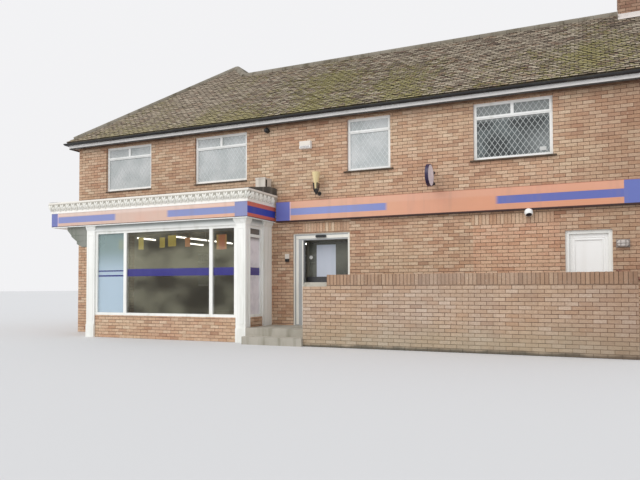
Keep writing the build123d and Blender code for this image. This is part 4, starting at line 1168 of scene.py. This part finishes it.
# What shows through the shop's glass
def make_tubes():
    """Lamps on rods from the ceiling: a white batten with a bright tube under it."""
    battens, tubes = [], []
    for x, start, end in (
        (1.64, 0.48, 1.35), (2.9, 0.49, 1.13), (2.9, 1.31, 2.14), (2.9, 2.21, 2.69), (2.9, 2.81, 3.57),
        (1.65, 3.0, 3.77), (4.95, 3.6, 4.8), (7.6, 2.2, 3.6), (10.2, 2.2, 3.6),
    ):
        battens.append(board(at(x - 0.03, start, TUBE_Z + 0.02), at(x + 0.03, end, TUBE_Z + 0.06), 0.006))
        for stop in (start + 0.08, end - 0.08):
            battens.append(rod(at(x, stop, TUBE_Z + 0.05), at(x, stop, CEILING_Z), 0.005, 8))
        tubes.append(rod(at(x, start + 0.02, TUBE_Z), at(x, end - 0.02, TUBE_Z), 0.02, 12))
    dress(join(battens), "shop_lamp_battens", "white_plastic")
    dress(join(tubes), "shop_lamp_tubes", "tube_glow")


def make_cards():
    """Plain coloured cards that hang inside the shop window."""
    yellow = ((3.1, 3.26, 2.19, 2.49), (3.75, 3.91, 2.22, 2.47), (4.0, 4.24, 2.24, 2.51))
    for colour, places in (
        ("yellow", yellow), ("orange", ((4.5, 4.65, 2.22, 2.44),)), ("red", ((5.39, 5.67, 2.13, 2.48),))
    ):
        pieces = []
        for left, right, low, high in places:
            pieces.append(board(at(left, CARD_Y - 0.002, low), at(right, CARD_Y + 0.002, high), 0.001, 1))
            for x in (left + 0.02, right - 0.02):
                pieces.append(rod(at(x, CARD_Y, high - 0.005), at(x, CARD_Y, 2.7), 0.0015, 6))
        dress(join(pieces), f"{colour}_window_cards", f"{colour}_card")


def make_window_films():
    low, high = BLUE_BAND
    bands = [
        board(at(left, PANE_BACK_Y, low), at(right, PANE_BACK_Y + 0.003, high), 0.001, 1)
        for left, right in ((2.8, 5.25), (5.34, 5.925))
    ]
    dress(join(bands), "blue_window_bands", "blue_film")
    film = board(at(1.865, PANE_BACK_Y + 0.006, 0.625), at(2.71, PANE_BACK_Y + 0.009, 2.615), 0.001, 1)
    dress(film, "left_pane_film", "left_pane_film")
    card = board(at(2.5, PANE_BACK_Y + 0.001, 2.21), at(2.66, PANE_BACK_Y + 0.003, 2.45), 0.0005, 1)
    dress(card, "left_pane_card", "yellow_card")
    panel = board(at(6.135, -0.965, 0.625), at(6.15, -0.485, 2.3), 0.003)
    dress(panel, "return_pane_panel", "return_panel")


# Doors and fittings
def make_entrance_details():
    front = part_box("entrance_frame")[0].y - FRONT_Y
    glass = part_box("entrance_door_glass")[0].y - FRONT_Y
    beads = [
        block(at(left, front - proud, low), at(right, front + 0.01, high))
        for left, right, proud, low, high in (
            (6.83, 6.862, 0.005, 0.34, 2.53), (8.235, 8.29, 0.005, 0.34, 2.53), (6.862, 8.235, 0.005, 2.505, 2.53),
            (7.055, 7.09, 0.005, 0.34, 2.37), (6.9, 6.968, 0.004, 0.36, 2.4), (6.9, 8.235, 0.004, 2.405, 2.475),
        )
    ]
    dress(join([soften(bead, 0.002) for bead in beads]), "entrance_frame_beads", "door_edge")
    notice = board(at(7.31, glass - 0.003, 1.49), at(7.81, glass - 0.0005, 2.27), 0.0008, 1)
    dress(notice, "door_notice", "notice_paper", SLIDING_DOOR)
    rail = board(at(7.05, glass - 0.02, 1.36), at(8.27, glass - 0.001, 1.5), 0.006)
    dress(rail, "door_rail", "dark_metal", SLIDING_DOOR)
    badge = soften(rod(at(7.16, glass - 0.004, 1.97), at(7.16, glass - 0.0005, 1.97), 0.045, 24), 0.001, 1)
    dress(badge, "door_badge", "white_plastic", SLIDING_DOOR)
    cover = board(at(6.63, -0.05, 1.93), at(6.74, 0.0, 2.05), 0.008)
    dress(cover, "entrance_key_cover", "cream_paint")
    hood = board(at(6.64, -0.065, 1.86), at(6.73, 0.0, 1.93), 0.01)
    dress(hood, "entrance_key_hood", "black_plastic")


def make_side_door_details():
    low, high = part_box("side_door")
    pieces = []
    for inset, width, proud in ((0.06, 0.014, 0.006), (0.1, 0.02, 0.01)):
        for bottom, top in ((0.09, 0.9), (1.0, high.z - low.z - inset - 0.01)):
            corner = Vector((low.x + inset, low.y - proud, low.z + bottom + inset - 0.06))
            other = Vector((high.x - inset, low.y + 0.002, low.z + top))
            pieces.append(upright_ring(corner, other, width))
    dress(join(pieces), "side_door_mouldings", "door_paint", SIDE_DOOR)
    x, y, z = high.x - 0.07, low.y, low.z + 1.0
    plate = board((x - 0.02, y - 0.008, z - 0.11), (x + 0.02, y + 0.001, z + 0.11), 0.003)
    stem = rod((x, y - 0.045, z + 0.04), (x, y - 0.004, z + 0.04), 0.009)
    lever = soften(rod((x + 0.008, y - 0.042, z + 0.04), (x - 0.11, y - 0.042, z + 0.035), 0.009), 0.003)
    dress(join([plate, stem, lever]), "side_door_handle", "fitting_grey", SIDE_DOOR)


def make_lamp():
    """Uplighter: a cream shade held in a black cradle on an arm from the wall."""
    low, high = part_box("wall_lamp")
    x, y, arm_z = (low.x + high.x) / 2, low.y + 0.1, low.z + 0.05
    shade_low = low.z + 0.13
    depth = shade_low - high.z + 0.05
    shell = work_on(
        cone((x, y, shade_low), (x, y, high.z), 0.03, 0.1, 32), "FACE", lambda face: face.normal.z > 0.9,
        (bpy.ops.mesh.inset, {"thickness": 0.008}),
        (bpy.ops.mesh.extrude_region_move, {"TRANSFORM_OT_translate": {"value": (0, 0, depth)}}),
        (bpy.ops.transform.resize, {"value": (0.4, 0.4, 1)}),
    )
    dress(shell, "lamp_shade", "lamp_cream", stands_for=("wall_lamp",))
    cradle = [soften(cone((x, y, low.z), (x, y, shade_low + 0.01), 0.02, 0.042), 0.006)]
    for quarter in range(4):
        angle = radians(45 + 90 * quarter)
        away = Vector((cos(angle), sin(angle), 0))
        foot = Vector((x, y, arm_z)) + away * 0.03
        elbow = Vector((x, y, shade_low)) + away * 0.062
        tip = Vector((x, y, shade_low + 0.13)) + away * 0.068
        cradle += [rod(foot, elbow, 0.014, 10), rod(elbow, tip, 0.014, 10)]
        cradle += [ball(elbow, (0.015,) * 3, 10, 6), ball(tip, (0.018,) * 3, 10, 6)]
    cradle.append(rod((x, y + 0.02, arm_z), (x, FRONT_Y - 0.012, arm_z), 0.014))
    cradle.append(soften(rod((x, FRONT_Y - 0.016, arm_z), (x, FRONT_Y, arm_z), 0.05, 24), 0.004))
    dress(join(cradle), "lamp_cradle", "black_plastic")


def make_round_sign_bars():
    low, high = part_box("projecting_sign")
    x = (low.x + high.x) / 2
    bars = []
    for z in (low.z + 0.12, high.z - 0.12):
        bars.append(rod((x, DISC_MIDDLE_Y + 0.2, z), (x, FRONT_Y, z), 0.014, 12))
        bars.append(soften(rod((x, FRONT_Y - 0.008, z), (x, FRONT_Y, z), 0.035, 20), 0.002))
    bars.append(rod((x, FRONT_Y - 0.14, low.z + 0.1), (x, FRONT_Y - 0.14, high.z - 0.1), 0.012, 12))
    dress(join(bars), "round_sign_bars", "black_plastic")


def make_camera_window():
    low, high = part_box("dome_camera")
    middle = Vector(((low.x + high.x) / 2, low.y + 0.085, (low.z + high.z) / 2))
    aim = Vector((0.12, -0.5, -0.86)).normalized()
    cap = trim(ball(middle, (0.0875,) * 3, 32, 16), (middle + aim * 0.058, -aim))
    pick(cap)
    bpy.ops.object.shade_smooth_by_angle(angle=radians(40))
    dress(cap, "camera_window", "smoked_dome")
    collar = soften(rod(middle + aim * 0.05, middle + aim * 0.062, 0.07, 32), 0.004)
    dress(collar, "camera_collar", "white_plastic")


def make_bulkhead_guard():
    low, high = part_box("bulkhead_light")
    proud = 0.006
    front, back = low.y - proud, FRONT_Y - 0.01
    bars = [board((low.x - 0.012, FRONT_Y - 0.02, low.z - 0.014), (high.x + 0.012, FRONT_Y, high.z + 0.014), 0.008)]
    for share in (0.3, 0.7):
        x = low.x + (high.x - low.x) * share
        bars.append(board((x - proud, front, low.z - proud), (x + proud, back, high.z + proud), 0.003))
    z = (low.z + high.z) / 2
    bars.append(board((low.x - proud, front, z - proud), (high.x + proud, back, z + proud), 0.003))
    dress(join(bars), "bulkhead_guard", "fitting_grey")


def make_siren_lid():
    low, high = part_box("siren_box")
    lid = board((low.x + 0.012, low.y - 0.004, low.z + 0.07), (high.x - 0.012, low.y + 0.001, high.z - 0.012), 0.003)
    dress(lid, "siren_box_lid", "cream_paint")
    vents = []
    for number in range(5):
        z = low.z + 0.016 + number * 0.01
        vents.append(block((low.x + 0.03, low.y - 0.002, z), (high.x - 0.03, low.y + 0.001, z + 0.004)))
    dress(join(vents), "siren_box_vents", "fitting_grey")


def make_vent_box_details():
    low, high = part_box("plant_box")
    body_z = low.z + 0.28
    over = 0.008
    lid = board((low.x - over, low.y - over, high.z - 0.03), (high.x + over, high.y + over, high.z + 0.006), 0.004)
    dress(lid, "vent_box_lid", "cream_paint")
    # Painted shade: black strips where the slots on the right side and the front are recessed, and a black block under
    # the box's body between its legs
    slots = [
        block((high.x - 0.002, low.y + 0.03, body_z + 0.02), (high.x + 0.004, low.y + 0.1, high.z - 0.04)),
        block((low.x + 0.03, low.y - 0.004, body_z + 0.02), (high.x - 0.03, low.y + 0.002, body_z + 0.05)),
        board((low.x + 0.01, low.y + 0.02, low.z + 0.16), (high.x - 0.01, high.y - 0.02, body_z), 0.004),
    ]
    dress(join(slots), "vent_box_shade_strips", "black_plastic")


def make_eaves_fitting():
    """Black round fitting that hangs under the eaves left of the middle."""
    x, z = SHOPFRONT_RIGHT - 0.07, 5.1
    drum = soften(rod(at(x, -0.1, z), at(x, 0, z), 0.06, 24), 0.008)
    eye = ball(at(x, -0.1, z), (0.045, 0.03, 0.045), 20, 10)
    stem = rod(at(x, -0.05, z + 0.04), at(x, -0.05, EAVES_Z), 0.012, 12)
    dress(join([drum, eye, stem]), "eaves_fitting", "black_plastic")


# Roof covering: tiles laid on each slope, then cut at the hips, ridges and valley
def tiled_slope(foot, along, inward, length, run, cuts, seed):
    """Rows of tiles on one slope, each row half a tile across. foot is its eaves corner."""
    depth = TILE_GAUGE * 1.15
    tile = primitive(
        bpy.ops.mesh.primitive_cube_add, (TILE_WIDTH - 0.003, depth, TILE_THICKNESS),
        (-atan(TILE_THICKNESS / TILE_GAUGE), 0, 0), size=1, location=(0, depth / 2, TILE_THICKNESS),
    )
    pair = join([tile, twin(tile, (TILE_WIDTH / 2, TILE_GAUGE, 0))])
    repeat(pair, int(length / TILE_WIDTH) + 3, (TILE_WIDTH, 0, 0))
    repeat(pair, int(run / cos(PITCH) / TILE_GAUGE / 2) + 2, (0, 2 * TILE_GAUGE, 0))
    tone_each(pair, 8, 6, seed, lift=0.003, tip=0.02)
    return trim(place(pair, foot, along, Vector(inward) * cos(PITCH) + UP * sin(PITCH)), *cuts)


def lay_roof():
    low, edge = -TILE_EDGE_OUT, TILE_EDGE_Z
    right, back = WING_WIDTH + TILE_EDGE_OUT, WING_DEPTH + TILE_EDGE_OUT
    range_back = RANGE_DEPTH + TILE_EDGE_OUT
    wing_run, range_run = WING_WIDTH / 2 + TILE_EDGE_OUT, RANGE_DEPTH / 2 + TILE_EDGE_OUT
    front_corner, back_corner, right_corner = at(low, low, edge), at(low, back, edge), at(right, back, edge)
    fall, valley = at(right, low, edge), at(right, range_back, edge)
    gable, ridge, apex = at(LENGTH, 0, 0), at(0, RANGE_DEPTH / 2, 0), at(WING_WIDTH / 2, 0, 0)
    front_slope = tiled_slope(
        front_corner, FRONT, RIGHT, LENGTH - low, wing_run, [(front_corner, (-1, 1, 0)), (gable, FRONT)], 3
    )
    above_range = trim(twin(front_slope), (fall, (1, 1, 0)))
    trim(front_slope, (fall, (-1, -1, 0)), (ridge, RIGHT))
    dress(join([front_slope, above_range]), "front_slope_tiles", "mossy_tiles")
    for name, foot, along, inward, length, run, cuts, seed in (
        ("left", back_corner, LEFT, FRONT, back - low, wing_run,
         [(front_corner, (1, -1, 0)), (back_corner, (1, 1, 0)), (apex, FRONT)], 4),
        ("wing_back", right_corner, BACK, LEFT, right - low, wing_run,
         [(back_corner, (-1, -1, 0)), (right_corner, (1, -1, 0))], 5),
        ("wing_right", fall, RIGHT, BACK, back - low, wing_run,
         [(right_corner, (-1, 1, 0)), (valley, (1, -1, 0)), (fall, (-1, -1, 0)), (apex, BACK)], 6),
        ("range_back", at(LENGTH, range_back, edge), BACK, LEFT, LENGTH, range_run,
         [(gable, FRONT), (valley, (-1, 1, 0)), (ridge, LEFT)], 7),
    ):
        slope = tiled_slope(foot, along, inward, length, run, cuts, seed)
        dress(slope, f"{name}_slope_tiles", "mossy_tiles")


def capping_run(start, end, seed):
    """Half-round tiles from start to end, on a bed of mortar."""
    length = (end - start).length
    count = max(1, round(length / RIDGE_TILE_LENGTH))
    step = length / count
    cap = rod((0, 0, RIDGE_TILE_GAP / 2), (0, 0, step - RIDGE_TILE_GAP / 2), RIDGE_TILE_RADIUS, 20)
    corners, faces = len(cap.data.vertices), len(cap.data.polygons)
    repeat(cap, count, (0, 0, step))
    tone_each(cap, corners, faces, seed)
    bed = rod((0, 0, 0), (0, 0, length), RIDGE_BED_RADIUS, 20)
    bed.data.attributes.new("tone", "FLOAT", "FACE")
    run = join([cap, bed])
    direction = (end - start).normalized()
    across = direction.cross(UP).normalized()
    return place(run, start, across, direction.cross(across))


def lay_cappings():
    half_wing, half_range, run = WING_WIDTH / 2, RANGE_DEPTH / 2, WING_WIDTH / 2 + TILE_EDGE_OUT
    wing_ridge = TILE_EDGE_Z + tan(PITCH) * run
    front_apex = at(half_wing, run - TILE_EDGE_OUT, wing_ridge)
    back_apex = at(half_wing, WING_DEPTH + TILE_EDGE_OUT - run, wing_ridge)
    meeting = at(WING_WIDTH - half_range, half_range, RIDGE_Z)
    from_edge = 0.16
    foot, foot_z = from_edge - TILE_EDGE_OUT, TILE_EDGE_Z + tan(PITCH) * from_edge
    sink = Vector((0, 0, -RIDGE_TILE_SINK))
    pieces = [capping_run(start + sink, end + sink, 20 + number) for number, (start, end) in enumerate((
        (front_apex, back_apex),
        (meeting, at(LENGTH, half_range, RIDGE_Z)),
        (at(foot, foot, foot_z), front_apex),
        (meeting, front_apex),
        (at(foot, WING_DEPTH - foot, foot_z), back_apex),
        (at(WING_WIDTH - foot, WING_DEPTH - foot, foot_z), back_apex),
    ))]
    dress(join(pieces), "ridge_and_hip_cappings", "ridge_clay", stands_for=("ridge_tiles",))


def make_pot_details():
    """Rolled rims on the chimney pots, and mortar round their feet."""
    rims, feet = [], []
    for low, high in solids_of("chimney_pots"):
        middle, radius = (low + high) / 2, (high.x - low.x) / 2
        for z, roll in ((high.z - 0.014, 0.014), (high.z - 0.075, 0.009)):
            rims.append(primitive(
                bpy.ops.mesh.primitive_torus_add, major_radius=radius, minor_radius=roll, major_segments=32,
                minor_segments=8, location=(middle.x, middle.y, z),
            ))
        foot = Vector((middle.x, middle.y, low.z))
        feet.append(soften(cone(foot - UP * 0.01, foot + UP * 0.05, radius + 0.06, radius + 0.008, 32), 0.004))
    dress(join(rims), "chimney_pot_rims", "fired_clay")
    dress(join(feet), "chimney_pot_bedding", "mortar")


def make_flashing():
    """Lead where the stack stands on the roof: aprons, upstands and strips up both slopes."""
    low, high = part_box("chimney_stack")
    left, right = low.x + CHIMNEY_BAND, high.x - CHIMNEY_BAND
    thick, proud, edge_round, apron_length, upstand, lap = 0.004, 0.009, 0.0015, 0.15, 0.075, 0.02
    sheets = []
    for face_y, side in ((low.y + CHIMNEY_BAND, -1), (high.y - CHIMNEY_BAND, 1)):
        reach = abs(face_y - FRONT_Y - RANGE_DEPTH / 2)
        foot_z = RIDGE_Z - tan(PITCH) * reach + 0.045
        slope = Vector((0, -side * cos(PITCH), sin(PITCH)))
        raised = Vector((0, side * sin(PITCH), cos(PITCH)))
        apron = board((0, -apron_length, 0), (right - left + 2 * lap, 0.01, thick), edge_round)
        start = left - lap if side < 0 else right + lap
        sheets.append(place(apron, (start, face_y, foot_z), (-side, 0, 0), slope))
        near, far = sorted((face_y + side * proud, face_y + side * (proud + thick)))
        outer = proud + thick
        sheets.append(board((left - outer, near, foot_z - lap), (right + outer, far, foot_z + upstand), edge_round))
        for face_x in (left - outer, right + proud):
            inner, outside = sorted((0, -side * thick))
            strip = board((-lap, 0, inner), (reach / cos(PITCH) + 0.03, 0.07, outside), edge_round)
            sheets.append(place(strip, (face_x, face_y, foot_z - lap), slope, raised))
    dress(join(sheets), "chimney_flashing", "lead")


# Lead came in diamonds, held against the outer face of a pane
def diamonds(width, height):
    """Crossing bars that fill a pane in the XY plane, its lower left corner at the origin."""
    families = []
    for side, start in ((1, (-height, 0, 0)), (-1, (-DIAMOND_WIDTH / 2, 0, 0.001))):
        bar = primitive(
            bpy.ops.mesh.primitive_cube_add, (width + height + 1.0, CAME_WIDTH, CAME_DEPTH),
            (0, 0, side * atan(DIAMOND_HEIGHT / DIAMOND_WIDTH)), size=1,
        )
        count = int((width + height) / DIAMOND_WIDTH) + 3
        families.append(repeat(move(bar, start), count, (DIAMOND_WIDTH, 0, 0)))
    return trim_to(join(families), 0, width, 0, height)


def lead_windows():
    for node, finish in (
        ("window_glass_1", "faint_leading"), ("window_glass_2", "leading"), ("window_glass_3", "leading"),
        ("window_glass_4", "bright_leading"), ("back_window_glass", "leading"),
    ):
        lattices = []
        for low, high in solids_of(node):
            size = high - low
            if size.y < size.x:
                y = high.y if node == "back_window_glass" else low.y
                lattices.append(place(diamonds(size.x, size.z), (low.x, y, low.z), FRONT))
            else:
                lattices.append(place(diamonds(size.y, size.z), (low.x, high.y, low.z), LEFT))
        dress(join(lattices), node.replace("glass", "leading"), finish)


lay_front_wall()
lay_other_walls()
lay_chimney()
lay_shopfront_base()
lay_screen_wall()
make_sills()
make_cornice_leaves()
make_canopy_trims()
make_sign_trims()
make_upper_window_card()
make_pilaster_panels()
make_bracket()
make_tubes()
make_cards()
make_window_films()
make_entrance_details()
make_side_door_details()
make_lamp()
make_round_sign_bars()
make_camera_window()
make_bulkhead_guard()
make_siren_lid()
make_vent_box_details()
make_eaves_fitting()
lay_roof()
lay_cappings()
make_pot_details()
make_flashing()
lead_windows()

# Camera, fitted to the photograph's straight edges
PHOTO_WIDTH = 640
PHOTO_HEIGHT = 480
FOCAL_PX = 609.7
CENTRE_Y_PX = 268.4
SENSOR = 36.0
EYE = at(13.333, -13.149, 1.244)
YAW = radians(23.79)
TILT = radians(1.776)
ROLL = radians(-0.149)
SUN_ENERGY = 1.3
SUN_WIDTH = radians(50)


def set_camera():
    look = Vector((-sin(YAW) * cos(TILT), cos(YAW) * cos(TILT), sin(TILT)))
    level = Vector((cos(YAW), sin(YAW), 0))
    rise = level.cross(look)
    right = level * cos(ROLL) + rise * sin(ROLL)
    up = rise * cos(ROLL) - level * sin(ROLL)
    data = bpy.data.cameras.new("camera")
    data.sensor_width = SENSOR
    data.lens = FOCAL_PX * SENSOR / PHOTO_WIDTH
    data.shift_y = (CENTRE_Y_PX - PHOTO_HEIGHT / 2) / PHOTO_WIDTH
    camera = bpy.data.objects.new("camera", data)
    bpy.context.scene.collection.objects.link(camera)
    camera.matrix_world = Matrix.Translation(EYE) @ Matrix((right, up, -look)).transposed().to_4x4()
    bpy.context.scene.camera = camera


def set_light():
    scene = bpy.context.scene
    scene.view_settings.view_transform = "Standard"
    world = bpy.data.worlds.new("sky")
    scene.world = world
    world.use_nodes = True
    sky = Effect(world.node_tree)
    path = sky.add("LightPath")
    seen = sky.most(sky.most(path["Is Camera Ray"], path["Is Glossy Ray"]), path["Is Transmission Ray"])
    colour = sky.blend(seen, (0.9, 0.92, 0.96, 1), (0.89, 0.89, 0.905, 1))
    sky.tree.links.new(colour, sky.tree.nodes["Background"].inputs["Color"])
    lamp = bpy.data.lights.new("soft_sun", "SUN")
    lamp.energy = SUN_ENERGY
    lamp.angle = SUN_WIDTH
    lamp.color = (1.0, 0.98, 0.95)
    sun = bpy.data.objects.new("soft_sun", lamp)
    scene.collection.objects.link(sun)
    sun.rotation_mode = "QUATERNION"
    sun.rotation_quaternion = Vector((0.45, 0.75, -0.75)).to_track_quat("-Z", "Y")


def lay_ground():
    ground = primitive(bpy.ops.mesh.primitive_plane_add, size=400, location=(0, 0, 0))
    ground.name = "floor"
    Surface("pale_floor", 0.9).shader["Base Color"].default_value = linear((206, 206, 206))
    coat(ground.data, "pale_floor")


set_camera()
set_light()
lay_ground()
